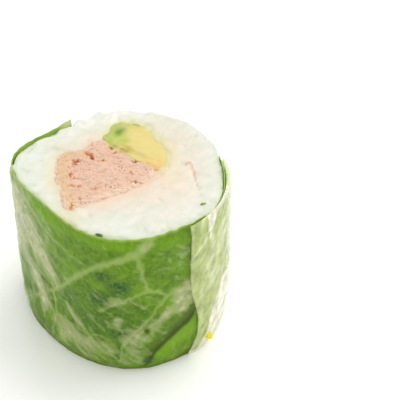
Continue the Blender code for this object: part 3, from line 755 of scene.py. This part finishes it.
def paper_material():
    """Soaked rice paper: a clear gelatinous film, milky where it is doubled or stands
    off the leaf, with fine drying wrinkles. Some milky patches and whiter smears are
    painted reflection and painted highlights, and it is whiter over bare rice as painted light."""
    material, node, place = new_material("soaked rice paper")
    unrolled = node("Attribute", attribute_name="unrolled").outputs["Vector"]
    streaks = []
    for lean, pitch, long in ((-38, 1.3, 2.2), (48, 1.8, 1.5)):
        drawn = node("Mapping", {"Vector": unrolled, "Rotation": (0, 0, math.radians(lean)),
                                 "Scale": (long, 1, 1)}, vector_type="TEXTURE")
        streaks.append(node("TexNoise", {"Vector": drawn, "Scale": PER_MM / pitch, "Detail": 3.0,
                                         "Roughness": 0.55}))
    # Milky patches where the film stands off the leaf, some of them painted reflection
    lifted = node("Attribute", attribute_name="lifted").outputs["Fac"]
    ragged = node("Math", {0: streaks[0], 1: 1.2, 2: lifted}, operation="MULTIPLY_ADD")
    whole = node("MapRange", {0: ragged, 1: 0.75, 2: 1.6})
    threads = node("MapRange", {0: streaks[1], 1: 0.36, 2: 0.66, 3: 0.6, 4: 0.95})
    patch = node("Math", {0: whole, 1: threads}, operation="MULTIPLY")
    milk = node("Attribute", attribute_name="milk").outputs["Fac"]
    swing = node("MapRange", {0: streaks[1], 1: 0.34, 2: 0.68, 3: 0.65, 4: 1.35})
    doubled = node("Math", {0: milk, 1: swing}, operation="MULTIPLY")
    veil = node("Math", {0: patch, 1: doubled}, operation="ADD", use_clamp=True)
    fine = node("TexNoise", {"Vector": place, "Scale": PER_MM / 1.1, "Detail": 2.0})
    relief = node("Bump", {"Strength": 0.3, "Distance": 0.1 * MM, "Height": fine})
    colour = layer_colours(node, "#faf8e0", (("leafy", "#d6e494", 1.0), ("lifted", "#c6cc9c", 1.0)))
    return finish_shader(material, {"Base Color": colour, "Alpha": veil, "Normal": relief,
                                    "Roughness": 0.22, "IOR": 1.38})


def crumb_material():
    """A crumb of cooked egg yolk: matt, strong yellow, a little darker in its dents."""
    material, node, place = new_material("egg yolk crumb")
    grain = node("TexNoise", {"Vector": place, "Scale": PER_MM / 0.5})
    colour = layer_colours(node, "#e6de12", (((grain, 0.5, 0.3), "#cdb80e", 0.7),))
    return finish_shader(material, {
        "Base Color": colour, "Roughness": 0.5, "Subsurface Weight": 0.2,
        "Subsurface Radius": (1.0, 0.8, 0.2), "Subsurface Scale": 0.5 * MM})


def pieces_tree(material):
    """Geometry Nodes that lay small rounded pieces on a bed, such as grains or flakes."""
    tree = bpy.data.node_groups.new("pieces on a bed", "GeometryNodeTree")
    face = tree.interface
    face.new_socket("Bed", in_out="INPUT", socket_type="NodeSocketGeometry")
    for name, value in (
        ("Length", GRAIN[0] * MM), ("Width", GRAIN[1] * MM), ("Depth", GRAIN[2] * MM),
        ("Bend", 0.18), ("Spacing", 2 * MM), ("Spin", 3.14), ("Tilt", 0.12),
        ("Lowest", 0.02 * MM), ("Highest", HEIGHT * MM),
    ):
        face.new_socket(name, in_out="INPUT", socket_type="NodeSocketFloat").default_value = value
    face.new_socket("Seed", in_out="INPUT", socket_type="NodeSocketInt").default_value = 1
    face.new_socket("Pieces", in_out="OUTPUT", socket_type="NodeSocketGeometry")
    node = functools.partial(add_node, tree)
    given = node("NodeGroupInput").outputs
    room, free, lie = (
        node("GeometryNodeInputNamedAttribute", {"Name": name}, data_type=kind).outputs["Attribute"]
        for name, kind in (("room", "FLOAT"), ("free", "FLOAT"), ("lie", "FLOAT_VECTOR")))
    places = node("GeometryNodeDistributePointsOnFaces", {
        "Mesh": given["Bed"], "Distance Min": given["Spacing"], "Density Max": 3e6,
        "Density Factor": room, "Seed": given["Seed"]}, distribute_method="POISSON").outputs
    upright = node("FunctionNodeAlignRotationToVector", {"Vector": places["Normal"]}, axis="Z")
    laid = node("FunctionNodeAlignRotationToVector", {"Rotation": upright, "Vector": lie},
                axis="X", pivot_axis="Z")
    twist, roll = (node("FunctionNodeRandomValue", {2: -1.0, 3: 1.0, "Seed": seed}).outputs[1]
                   for seed in (11, 12))
    loose = node("Math", {0: free, 1: given["Spin"]}, operation="MULTIPLY")
    spin = node("Math", {0: twist, 1: loose}, operation="MULTIPLY")
    tilt = node("Math", {0: roll, 1: given["Tilt"]}, operation="MULTIPLY")
    turn = node("FunctionNodeEulerToRotation", {0: node("CombineXYZ", {"Y": tilt, "Z": spin})})
    turned = node("FunctionNodeRotateRotation", {"Rotation": laid, 1: turn}, rotation_space="LOCAL")

    ball = node("GeometryNodeMeshUVSphere", {"Segments": 12, "Rings": 8}).outputs["Mesh"]
    tipped = node("GeometryNodeTransform", {"Geometry": ball, "Rotation": (0, math.pi / 2, 0)})
    where = node("GeometryNodeInputPosition")
    x, y, z = node("SeparateXYZ", {0: where}).outputs
    square = node("Math", {0: x, 1: x}, operation="MULTIPLY")
    stout = node("Math", {0: square, 1: 0.3, 2: 1.0}, operation="MULTIPLY_ADD")
    wide = node("Math", {0: y, 1: stout}, operation="MULTIPLY")
    bent = node("Math", {0: square, 1: given["Bend"], 2: wide}, operation="MULTIPLY_ADD")
    high = node("Math", {0: z, 1: stout}, operation="MULTIPLY")
    blunt = node("CombineXYZ", {"X": x, "Y": bent, "Z": high})
    shaped = node("GeometryNodeSetPosition", {"Geometry": tipped, "Position": blunt})
    full = node("CombineXYZ", {"X": given["Length"], "Y": given["Width"], "Z": given["Depth"]})
    share = node("FunctionNodeRandomValue", {
        0: (0.42, 0.44, 0.45), 1: (0.54, 0.55, 0.52), "Seed": 13}, data_type="FLOAT_VECTOR")
    size = node("VectorMath", {0: full, 1: share.outputs[0]}, operation="MULTIPLY")
    laid_out = node("GeometryNodeInstanceOnPoints", {
        "Points": places["Points"], "Instance": shaped, "Rotation": turned, "Scale": size})
    tone = node("FunctionNodeRandomValue", {"Seed": 15}).outputs[1]
    toned = node("GeometryNodeStoreNamedAttribute", {
        "Geometry": laid_out, "Name": "tone", "Value": tone}, domain="INSTANCE")

    real = node("GeometryNodeRealizeInstances", {"Geometry": toned})
    where = node("GeometryNodeInputPosition")
    dented = node("TexNoise", {"Vector": where, "Scale": 700.0}).outputs["Color"]
    centred = node("VectorMath", {0: dented, 1: (0.5, 0.5, 0.5)}, operation="SUBTRACT")
    shift = node("VectorMath", {0: centred, 1: (0.3 * MM, 0.3 * MM, 0.3 * MM)}, operation="MULTIPLY")
    moved = node("VectorMath", {0: where, 1: shift}, operation="ADD")
    x, y, z = node("SeparateXYZ", {0: moved}).outputs
    cut = node("Clamp", {"Value": z, "Min": given["Lowest"], "Max": given["Highest"]})
    trimmed = node("CombineXYZ", {"X": x, "Y": y, "Z": cut})
    flat = node("GeometryNodeSetPosition", {"Geometry": real, "Position": trimmed})
    smooth = node("GeometryNodeSetShadeSmooth", {"Geometry": flat})
    dressed = node("GeometryNodeSetMaterial", {"Geometry": smooth, "Material": material})
    node("NodeGroupOutput", {"Pieces": dressed})
    return tree


def lay_pieces(name, grids, material, **given):
    """Runs the tree on a bed and turns the result into a plain mesh. The bed is made of
    grids of (points, room for pieces, way that they lie, how freely they turn)."""
    faces, first = [], 0
    for points, *_ in grids:
        index = first + np.arange(points[..., 0].size).reshape(points.shape[:2])
        faces += grid_quads(index).tolist()
        first += index.size
    points, room, lie, free = (
        np.concatenate([part.reshape(-1, *part.shape[2:]) for part in parts])
        for parts in zip(*grids))
    bed = mesh_object("bed", points, faces, {"room": room, "free": free, "lie": lie})
    tree = pieces_tree(material)
    laying = bed.modifiers.new(name, "NODES")
    laying.node_group = tree
    for socket in tree.interface.items_tree:
        if socket.in_out == "INPUT" and socket.name.lower() in given:
            laying[socket.identifier] = given[socket.name.lower()]
    return baked(bed, name)


def flat_grid(cell=0.6, reach=21.6):
    """A square grid of points in a plane."""
    line = np.arange(-reach, reach + cell, cell)
    return np.stack(np.meshgrid(line, line), -1)


def both_cuts(flat, top, foot, room, foot_room, way, free):
    """Beds on the upper cut and, turned over, on the lower one."""
    lie = at_height(way, 0)
    over = flat[:, ::-1]
    return [(at_height(flat, top), room, lie, free),
            (at_height(over, foot), foot_room[:, ::-1], lie[:, ::-1], free[:, ::-1])]


def dress(piece, node, material=None):
    """The calls that every finished piece needs."""
    if material:
        piece.data.materials.clear()
        piece.data.materials.append(material)
    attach(piece, "root")
    if node:
        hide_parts(node)


def cut_through(target, cutter):
    """Bores a filling's way through target."""
    cut = target.modifiers.new("bore", "BOOLEAN")
    cut.operation = "DIFFERENCE"
    cut.object = cutter
    cut.solver = "MANIFOLD"
    bored = baked(target, "rice")
    bpy.data.objects.remove(cutter)
    return bored


def filling_rings(outline, middle, top_of, out, low, count, rows, rings):
    """Rings of a filling that goes out past its outline: a lower face at low, a side, and
    an upper face whose height is top_of."""
    turns = np.linspace(0, 360, count, endpoint=False)
    far = reach_round(outline, middle, turns) + out

    def ring(share, z=None):
        edge = round_points(far * share, turns, np.zeros(count))
        edge[:, :2] += middle
        edge[:, 2] = top_of(edge[:, :2], far * (1 - share)) if z is None else z
        return edge

    brim = ring(1.0)
    sides = [low + (brim[:, 2] - low) * k / rows for k in range(rows)]
    return ([ring(s, low) for s in np.linspace(0.1, 0.95, 5)]
            + [ring(1.0, z) for z in sides]
            + [ring(s) for s in np.linspace(1, 0.02, rings)])


def stains(points):
    """Marks of the fillings on the rice, and painted light and shade on it, for points seen from
    above.
    """
    flat = points[..., :2]
    x, y = flat[..., 0], flat[..., 1]
    far, angle = polar(flat)
    high = smooth_step((points[..., 2] - 26) / 5)
    to_rim = rice_radius(angle, CORE_TOP) - far
    edge = smooth_step(1.2 - to_rim / 4)
    low_side = smooth_step((0.6 * x - 0.8 * y - 4) / 6)
    left = smooth_step((-8 - x - 0.25 * y) / 3)
    uneven = 1 + 0.25 * lumps(flat, 1.1, 9)
    wobble = 0.8 + 0.2 * lumps(flat, 1.5, 4)
    wander = frayed(flat, 0.5, 1.6, 7)

    def beside(outline, reach):
        away = np.maximum(distance_to(flat, outline)[0], 0)
        return 0.95 * uneven * np.exp(-away / reach)

    def smeared(paths):
        drawn = [strength * stroke(wander, path, 2 * half, 2 * half, 0.95)
                 for path, half, strength in paths]
        return np.max(drawn, 0) * high * wobble

    by_tuna = beside(TUNA_EDGE, 1.2 + 1.4 * low_side)
    brown = np.maximum(0.65 * stroke(flat, SPLIT, 0.5, 0.15, 0.6),
                       0.5 * spots(flat, ((13.3, 2.7, 0.6, 0.4, 0, 1),)))
    return {
        "warm": smooth_step((x + 2) / 14 + 0.15 * lumps(flat, 6, 3)) * (1 - 0.7 * edge),
        "dim": bump(angle, 48, 62) * smooth_step((far - 8) / 5) * high * (1 - 0.7 * edge),
        # pale: painted light, lighter towards the back of the cut
        "pale": bump(angle, 108, 42) * smooth_step((far - 14) / 4) * high,
        # rimmed: painted shade near the rim, away from the back
        "rimmed": smooth_step(1 - to_rim / 1.8) * (1 - bump(angle, 80, 90)) * high,
        "peach": smeared(PEACH_STAINS), "yellow": smeared(YELLOW_STAINS), "brown": brown * high,
        "by_avocado": beside(AVOCADO_EDGE, 1.1 + 0.8 * low_side) * high,
        "beside": by_tuna * (1 - left) * high, "sallow": by_tuna * left * high,
        # dent: painted shade in the dents
        "dent": spots(flat, DENTS) * high,
    }


def build_rice():
    """The rice as one mass with the fillings' ways bored through, and loose grains on it."""
    turns = np.linspace(0, 360, 460, endpoint=False)

    def face_ring(share, upper):
        ring = round_points(rice_radius(turns, CORE_TOP if upper else 0.0) * share, turns, 0 * turns)
        ring[:, 2] = rice_top(ring) if upper else SOLE
        return ring

    upper = np.stack([face_ring(share, True) for share in np.linspace(0.995, 0.02, 60)])
    flat = upper[..., :2]
    upper[..., 2] += 0.12 * lumps(flat, 3, 24) - 0.5 * stroke(flat, SPLIT, 0.6, 0.2, 0.5)
    upper[..., 2] -= 0.4 * spots(flat, DENTS)
    lower = [face_ring(share, False) for share in np.linspace(0.02, 0.985, 30)]
    heights = [share * upper[0, :, 2] for share in np.linspace(0.02, 0.985, 44)]
    side = [round_points(rice_radius(turns, z) - 0.15, turns, z) for z in heights]
    core = closed_column("core", [*lower, *side, *upper])
    rice = fused("rice", [core, pressed_grains(turns)], cell=0.34, passes=2)
    for outline, middle, other in ((TUNA_OUTLINE, TUNA_MIDDLE, AVOCADO_EDGE),
                                   (AVOCADO_OUTLINE, AVOCADO_MIDDLE, TUNA_EDGE)):
        around = np.linspace(0, 360, 180, endpoint=False)
        reach = reach_round(smooth_outline(outline), middle, around)

        def way_ring(out, z):
            ring = round_points(reach + out, around, z + 0 * around)
            ring[:, :2] += middle
            return ring

        rings = []
        for z in np.linspace(-2, HEIGHT + 2, 20):
            ring = way_ring(0, z)
            shared, _ = distance_to(ring[:, :2], other)
            out = 0.15 * lumps(ring, 1.2, 5) - 0.35 + 0.7 * smooth_step((0.8 - shared) / 0.6)
            rings.append(way_ring(out, z))
        rice = cut_through(rice, closed_column("way", rings))
    rice.data.shade_smooth()
    rice.data.set_sharp_from_angle(angle=math.radians(60))
    white = rice_material()
    for piece, material in ((rice, white), (loose_grains(white), None)):
        put_marks(piece.data, stains(points_of(piece.data)))
        lean_cut(piece)
        dress(piece, "rice", material)


def pressed_grains(turns):
    """Whole grains half sunk in both cuts and in the sides that no leaf covers."""
    flat = flat_grid()
    rim, foot_rim = (round_points(rice_radius(turns, z), turns, 0 * turns)[::4, :2]
                     for z in (CORE_TOP, SOLE))
    rim_far, way = distance_to(flat, rim)
    fillings = np.minimum(distance_to(flat, TUNA_EDGE)[0], distance_to(flat, AVOCADO_EDGE)[0])
    room = smooth_step((-rim_far - 1.15) / 0.3) * (1 - stroke(flat, SPLIT, 1.6, 1.2, 0.2))
    room = room * smooth_step((fillings - 1.2) / 0.4)
    foot_room = smooth_step((-distance_to(flat, foot_rim)[0] - 1.6) / 0.3)
    free = smooth_step((-rim_far - 1.2) / 1.4)
    grids = both_cuts(flat, rice_top(flat), SOLE, room, foot_room, way, free)
    for start, stop, low, high in ((72, 126, 1, 31), (-46, 10, 1, 9), (-37, -20, 24, 31)):
        across = np.linspace(start, stop, int((stop - start) * ALONG / GRAIN_PITCH) + 2)
        angle, z = np.meshgrid(across, np.arange(low, high, GRAIN_PITCH))
        bare = (z > leaf_rim(angle) + 1) | (z < leaf_hem(angle) - 1)
        bare |= (angle > LEAF_END + 3) & (angle < LEAF_START + 357)
        grids.append(side_bed(angle, z, 0.35, bare * 1.0))
    return lay_pieces("grains", grids, None, spacing=1.9 * MM, highest=(HEIGHT - 0.1) * MM, seed=3)


def side_bed(angle, z, sunk, room):
    """A bed just under the rice's side, on which grains lie any way round."""
    return (round_points(rice_radius(angle, z) - sunk, angle, z), room,
            round_points(0 * z, angle, 1 + 0 * z), 0 * z + 1)


def loose_grains(white):
    """Whole grains that stand out of the back, where no leaf covers the rice."""
    angle, z = np.meshgrid(np.linspace(76, 121, 24), np.arange(1.5, 31, GRAIN_PITCH))
    return lay_pieces("rice_grains", [side_bed(angle, z, 0.7, 1 + 0 * z)], white,
                      spacing=3 * MM, seed=8)


def build_tuna():
    """Flaked tuna: a fibrous mass with hollows, and separate flakes on both cuts."""
    pink = tuna_material()

    def hollows(flat, deep):
        """The pits, as deep as they are or all as strong as each other."""
        torn = frayed(flat, 0.28, 0.5, 35)
        return spots(torn, [(*pit[:5], pit[5] if deep else 1) for pit in TUNA_PITS])

    def holes(flat):
        return smooth_step((lumps(flat, 0.36, 37) + 0.5 * lumps(flat, 3, 38) - 0.9) / 0.5)

    def top_of(flat, from_edge):
        flakes = pressed(flat[None], 31, 0.7, (1.3, 0.4), FISH_GRAIN, 45)[0]
        crumbs = pressed(flat[None], 34, 0.55, (0.5, 0.3))[0]
        hollow = hollows(flat, True) + 0.3 * holes(flat)
        coarse = 0.12 * lumps(flat, 2.6, 32) + 0.05 * lumps(flat, 0.4, 39)
        ragged = 0.3 * smooth_step((0.9 - from_edge) / 0.9) * (1 + 0.6 * lumps(flat, 0.7, 33))
        return TUNA_TOP + 0.6 + 0.06 * flakes + 0.1 * crumbs + coarse - hollow - ragged

    def colour_marks(piece, strength=1.0):
        points = points_of(piece.data)
        flat = points[:, :2]
        upper = smooth_step((points[:, 2] - 28) / 2) * strength
        pit = hollows(flat, False)
        reach = 0.9 + 1.3 * smooth_step((0.5 * flat[:, 0] - 0.85 * flat[:, 1] - 1) / 4)
        far, _ = distance_to(flat, TUNA_EDGE)
        from_avocado, _ = distance_to(flat, AVOCADO_EDGE)
        put_marks(piece.data, {
            "pit": pit * upper, "hole": 0.8 * holes(flat) * upper,
            # dark: painted shadow in the deepest hollows
            "dark": pit * spots(flat, TUNA_PIT_SHADOWS) * upper,
            "edge": smooth_step(1 + (far - 0.2 + 0.35 * reach * lumps(flat, 1.0, 6)) / reach),
            "fringe": 0.8 * stroke(frayed(flat, 0.4, 1.2, 12), TUNA_FRINGE, 3.6, 2.4, 0.9),
            "by_avocado": smooth_step(1 - (from_avocado + 0.3 * lumps(flat, 0.9, 14)) / 0.8),
        })

    tuna = closed_column("tuna", filling_rings(
        smooth_outline(TUNA_OUTLINE), TUNA_MIDDLE, top_of, out=0.4, low=0.15, count=400, rows=14,
        rings=90))

    flat = flat_grid(0.4, 13)
    far, way = distance_to(flat, TUNA_EDGE)
    room = smooth_step((-far - 0.5) / 0.3) * (1 - np.clip(1.6 * hollows(flat, False), 0, 1))
    free = smooth_step((-far - 1) / 1.2)
    turn = math.radians(FISH_GRAIN)
    grain = np.array([math.cos(turn), math.sin(turn)])
    way = way * (1 - free[..., None]) + grain * free[..., None]
    flakes = lay_pieces(
        "tuna_flakes", both_cuts(flat, TUNA_TOP + 0.5, 0.3, room, room, way, free), pink,
        length=FLAKE[0] * MM, width=FLAKE[1] * MM, depth=FLAKE[2] * MM, bend=0.3,
        spacing=3.6 * MM, spin=1.2, tilt=0.15, highest=(HEIGHT + 0.1) * MM, seed=5)
    for piece, strength, material in ((tuna, 1, pink), (flakes, 0.7, None)):
        colour_marks(piece, strength)
        lean_cut(piece)
        dress(piece, "tuna", material)


def build_avocado():
    """A strip of ripe avocado, smooth and slightly uneven at the cut."""
    def top_of(flat, from_edge):
        soft = 0.1 * smooth_step((1.4 - from_edge) / 1.4)
        smear = 0.1 * lumps(flat, 2.4, 41) + 0.03 * lumps(flat, 0.8, 43)
        return AVOCADO_TOP - 0.05 + smear - soft

    avocado = closed_column("avocado", filling_rings(
        smooth_outline(AVOCADO_OUTLINE), AVOCADO_MIDDLE, top_of, out=0.3, low=0.1, count=220,
        rows=16, rings=50))
    flat = points_of(avocado.data)[:, :2]
    x, y = flat.T
    wander = 0.8 * lumps(flat, 2.5, 42)
    to_skin = stroke(flat, AVOCADO_SKIN, 3.4, 2.4, 0.9)
    green = smooth_step((2.9 - x + 0.35 * (y - 12) + wander) / 4.5)
    worn = smooth_step((distance_to(flat, AVOCADO_EDGE)[0] + 1.4 + 0.6 * lumps(flat, 0.8, 44)) / 1.4)
    worn = worn * smooth_step(distance_to(flat, TUNA_EDGE)[0] - 0.3)
    put_marks(avocado.data, {
        "green": np.maximum(green, 0.8 * to_skin), "orange": smooth_step((5.5 - y + wander) / 4),
        "edge": worn * (1 - 0.6 * smooth_step((1 - x) / 3)),
        **{name: spots(flat, marks) for name, marks in AVOCADO_SPOTS.items()},
    })
    lean_cut(avocado)
    dress(avocado, "avocado", avocado_material())


def leaf_lie(angle, z):
    """Veins and folds of the leaf at points on the wrap, the painted shadow along the folds,
    and how far they stand out.
    """
    flat = np.stack([angle * ALONG, z], -1)
    jagged = frayed(flat, 0.25, 1.0, 54)
    vein = np.max([strength * stroke(jagged, on_wrap(path), start, end, 0.8)
                   for start, end, strength, path in VEINS], 0)
    over_fold = z - line_at(angle, FOLD)
    along_fold = smooth_step((angle + 80) / 6) * smooth_step((-46 - angle) / 3)
    lip = smooth_step(over_fold / 0.8 + 0.5)
    # The fold's painted shadow is darkest at its crisp lower edge and fades upwards.
    fold = along_fold * lip * np.exp(-(np.maximum(over_fold, 0) / 3.2) ** 1.4)
    bulge = along_fold * (1 - lip) * np.exp(np.minimum(over_fold, 0) / 2)
    left_fold = stroke(flat, on_wrap(((-170, 13), (-155, 14.2), (-138, 13.8))), 1.6, 1.0, 0.7)
    blisters = lumps(flat, 2.4, 52) * 0.1 + lumps(flat, 1.0, 53) * 0.04
    blisters = blisters * (1 - vein) * smooth_step((leaf_rim(angle) - z) / 2.5)
    relief = 0.12 * vein + blisters - 0.22 * fold + 0.06 * bulge - 0.15 * left_fold
    return vein, np.clip(fold + 0.35 * left_fold, 0, 1), bulge, relief


def build_leaf():
    """The lettuce leaf: a thin sheet with raised veins, blisters, a fold and a torn rim."""
    columns, rows = 391, 108
    angle = np.linspace(LEAF_START, LEAF_END, columns)[None, :]
    share = np.linspace(0, 1, rows)[:, None]
    low, high = leaf_hem(angle), leaf_rim(angle) + 0.12 * lumps(angle.T * ALONG, 1.3, 51)[None, :]
    z = low + (high - low) * share
    angle = angle + 0 * z
    flat = np.stack([angle * ALONG, z], -1)
    vein, fold, bulge, relief = leaf_lie(angle, z)
    radius = leaf_radius(angle, np.minimum(z, HEIGHT))
    thick = LEAF * (0.4 + 0.6 * smooth_step((high - z) / 1.5))
    outer = round_points(radius + relief, angle, z)
    inner = round_points(radius - thick + 0.6 * relief, angle, z)
    brim = smooth_step((z - high + 0.6) / 0.5)
    back = np.maximum(smooth_step((angle - 5) / 12), bump(angle, LEAF_START, 16))
    shadow_under_film_edge = on_wrap(((-52.4, 35), (-51.9, 20), (-50.6, 15.5), (-48.6, 12)))
    leaf = thin_sheet("lettuce_leaf", outer, inner, {
        # fold is painted shadow along the fold
        "cut": brim, "vein": vein, "fold": fold,
        # strip is painted shadow under the film's edge and in the gap between leaf and rice at the
        # front right rim
        "strip": np.maximum(stroke(flat, shadow_under_film_edge, 1.0, 0.8), bump(angle, -48, 10) * brim),
        # painted contact shade along the leaf's foot
        "damp": smooth_step((0.8 - z + 0.2 * lumps(flat, 2.2, 57)) / 0.6),
        "pale_rim": np.maximum(brim * back, smooth_step((-227 - angle) / 8)),
        # hole is painted shade: a dark spot where the leaf has a small hole
        "hole": spots(flat, ((*HOLE, 0.4, 0.7, 0, 1),), ALONG),
        "deep": np.clip(spots(flat, DEEP_GREEN, ALONG), 0, 1) * (1 - 0.6 * vein),
        "yellow_green": np.clip(spots(flat, YELLOW_GREEN, ALONG) + 0.8 * bulge, 0, 1),
    })
    # The inner face is paler, as a leaf's underside is, and lighter still as painted light
    put_marks(leaf.data, {"inside": np.repeat([0.0, 1.0], z.size)})
    dress(leaf, "lettuce_leaf", leaf_material())


def build_paper():
    """The rice paper: a clear thin sheet that starts by lying on its own end."""
    columns, rows = 421, 92
    turned = np.linspace(0, 360 + PAPER_OVERLAP, columns)[None, :]
    share = np.linspace(0, 1, rows)[:, None]
    rim = HEIGHT + cut_rise(PAPER_EDGE + turned) - 0.15
    rim = rim + 0.1 * np.sin(np.radians(6 * (PAPER_EDGE + turned)))
    z = 0.08 + (rim - 0.08) * share
    fading = smooth_step(1 - turned / 30)
    angle = PAPER_EDGE + turned + (line_at(z, PAPER_EDGE_LINE) - PAPER_EDGE) * fading
    turned = turned + 0 * z
    doubled = turned < PAPER_OVERLAP
    outer_turn = doubled * smooth_step(turned / 2)
    past_end = smooth_step((turned - PAPER_OVERLAP - 2) / PAPER_STEP)
    round_the_roll = (angle - LEAF_START) % 360 + LEAF_START
    on_roll = np.stack([round_the_roll * ALONG, z], -1)
    over_leaf = smooth_step((z - leaf_hem(angle)) / 1.5)
    over_leaf = over_leaf * smooth_step((leaf_rim(angle) + 0.4 - z) / 0.8)
    over_leaf = over_leaf * smooth_step((LEAF_END + 1 - round_the_roll) / 2)
    # Where the film stands off the leaf, and painted reflection drawn as milky film
    lifted = (1 - np.exp(-1.2 * spots(on_roll, MILKY_AND_SHEEN, ALONG))) * ~doubled
    lifted = lifted * (1 - spots(on_roll, ((*HOLE, 0.7, 1.0, 0, 1),), ALONG))
    # Whiter smears on the outer turn, partly painted highlights
    smears_and_highlights = np.clip(spots(on_roll, WHITE_SMEARS_AND_HIGHLIGHTS, ALONG), 0, 1) * doubled
    along, up = angle * ALONG, z
    slant = np.stack([along * 0.85 + up * 0.53, (up * 0.85 - along * 0.53) / 3], -1)
    wrinkles = (0.04 + 0.08 * lifted) * np.maximum(lumps(slant, 1.1, 61), 0)
    relief = leaf_lie(round_the_roll, z)[3] * over_leaf * (1 - 0.4 * outer_turn)
    radius = wrap_radius(angle, z) + LAP * (1 - past_end) + wrinkles + relief
    clinging = smooth_step((z - leaf_rim(round_the_roll)) / 0.5) * ~doubled
    thick = FILM + stand_off(angle) * doubled + 0.35 * clinging
    border = smooth_step(1 - (turned - 0.7) / 0.9)
    # Over bare rice the film is whiter: painted light, for the light that the film lets through to
    # the rice under it
    milk = (0.46 + 0.08 * bump(round_the_roll, -15, 34) + 0.24 * (1 - over_leaf)) * outer_turn
    upper_edge = smooth_step((z - rim + 0.9) / 0.6) * bump(round_the_roll, 5, 24)
    milk = milk + 0.3 * border + 0.2 * smears_and_highlights + 0.4 * upper_edge * outer_turn
    paper = thin_sheet(
        "rice_paper", round_points(radius, angle, z), round_points(radius - thick, angle, z), {
            "milk": milk, "lifted": lifted, "unrolled": at_height(on_roll * MM, 0),
            "leafy": over_leaf * (1 - np.maximum(0.45 * smears_and_highlights, 0.3 * border))})
    dress(paper, "rice_paper", paper_material())


def small_lump(name, middle, half_sizes, turn, seed, roughness):
    """A small uneven lump."""
    shape = bmesh.new()
    bmesh.ops.create_icosphere(shape, subdivisions=4, radius=1)
    points = np.array([vertex.co[:] for vertex in shape.verts])
    faces = [[vertex.index for vertex in face.verts] for face in shape.faces]
    shape.free()
    points = points * (1 + roughness * lumps(points, 0.6, seed))[:, None] * half_sizes
    c, s = math.cos(math.radians(turn)), math.sin(math.radians(turn))
    points = points @ np.array([[c, s, 0], [-s, c, 0], [0, 0, 1]])
    return mesh_object(name, points + np.array(middle), faces)


def build_crumbs():
    """A yellow crumb stuck to the film near the foot, and scraps of leaf in the cut."""
    crumb = small_lump("yolk_crumb", (17.42, -13.98, 2.6), (0.82, 0.78, 0.78), turn=20, seed=71,
                       roughness=0.08)
    dress(crumb, None, crumb_material())
    scraps = []
    for middle, size, turn, seed, mark in (
        ((16.2, -10.4, 33.5), (0.6, 0.25, 0.2), 25, 72, "cut"),
        # The second scrap takes the fold mark: the dark olive that the leaf's fold shadow is painted
        # in
        ((-2.6, -20.0, 34.1), (0.75, 0.28, 0.2), -25, 73, "fold"),
    ):
        scrap = small_lump("scrap", middle, size, turn, seed, roughness=0.2)
        shade = np.full(len(scrap.data.vertices), 0.6)
        put_marks(scrap.data, {name: shade * (name == mark) for name in ("cut", "fold")})
        scraps.append(scrap)
    with bpy.context.temp_override(active_object=scraps[0], selected_editable_objects=scraps):
        bpy.ops.object.join()
    scraps[0].name = "leaf_scraps"
    dress(scraps[0], None, bpy.data.materials["fresh lettuce leaf"])


def build_stage():
    """A white table, a soft light from the right and behind, and the camera."""
    corners = [(x * TABLE_HALF, y * TABLE_HALF, 0) for x, y in ((-1, -1), (1, -1), (1, 1), (-1, 1))]
    floor = mesh_object("table", np.array(corners), [(0, 1, 2, 3)])
    white, _, _ = new_material("matt white table")
    floor.data.materials.append(finish_shader(white, {
        "Base Color": (0.985, 0.985, 0.96, 1), "Roughness": 0.25, "Specular IOR Level": 0.6}))
    world = bpy.data.worlds.new("white room")
    world.use_nodes = True
    set_inputs(world.node_tree, world.node_tree.nodes["Background"],
               {"Color": (1, 1, 1, 1), "Strength": 1.0})
    bpy.context.scene.world = world
    soft_box = bpy.data.lights.new("soft box", "AREA")
    soft_box.size = LAMP_SIDE
    soft_box.energy = LAMP_WATTS
    holder = add_object("soft box", soft_box)
    holder.location = LAMP
    x, y, z = np.array(LAMP) - LAMP_TARGET
    holder.rotation_euler = (math.atan2(math.hypot(x, y), z), 0, math.atan2(y, x) + math.pi / 2)
    view = bpy.data.cameras.new("camera")
    view.lens = LENS
    view.sensor_width = SENSOR
    view.clip_start = 0.01
    camera = add_object("camera", view)
    camera.location = CAMERA
    camera.rotation_euler = (CAMERA_TILT, 0, 0)
    bpy.context.scene.camera = camera
    bpy.context.scene.view_settings.view_transform = "Standard"
    bpy.context.scene.view_settings.look = "None"


build_rice()
build_tuna()
build_avocado()
build_leaf()
build_paper()
build_crumbs()
build_stage()
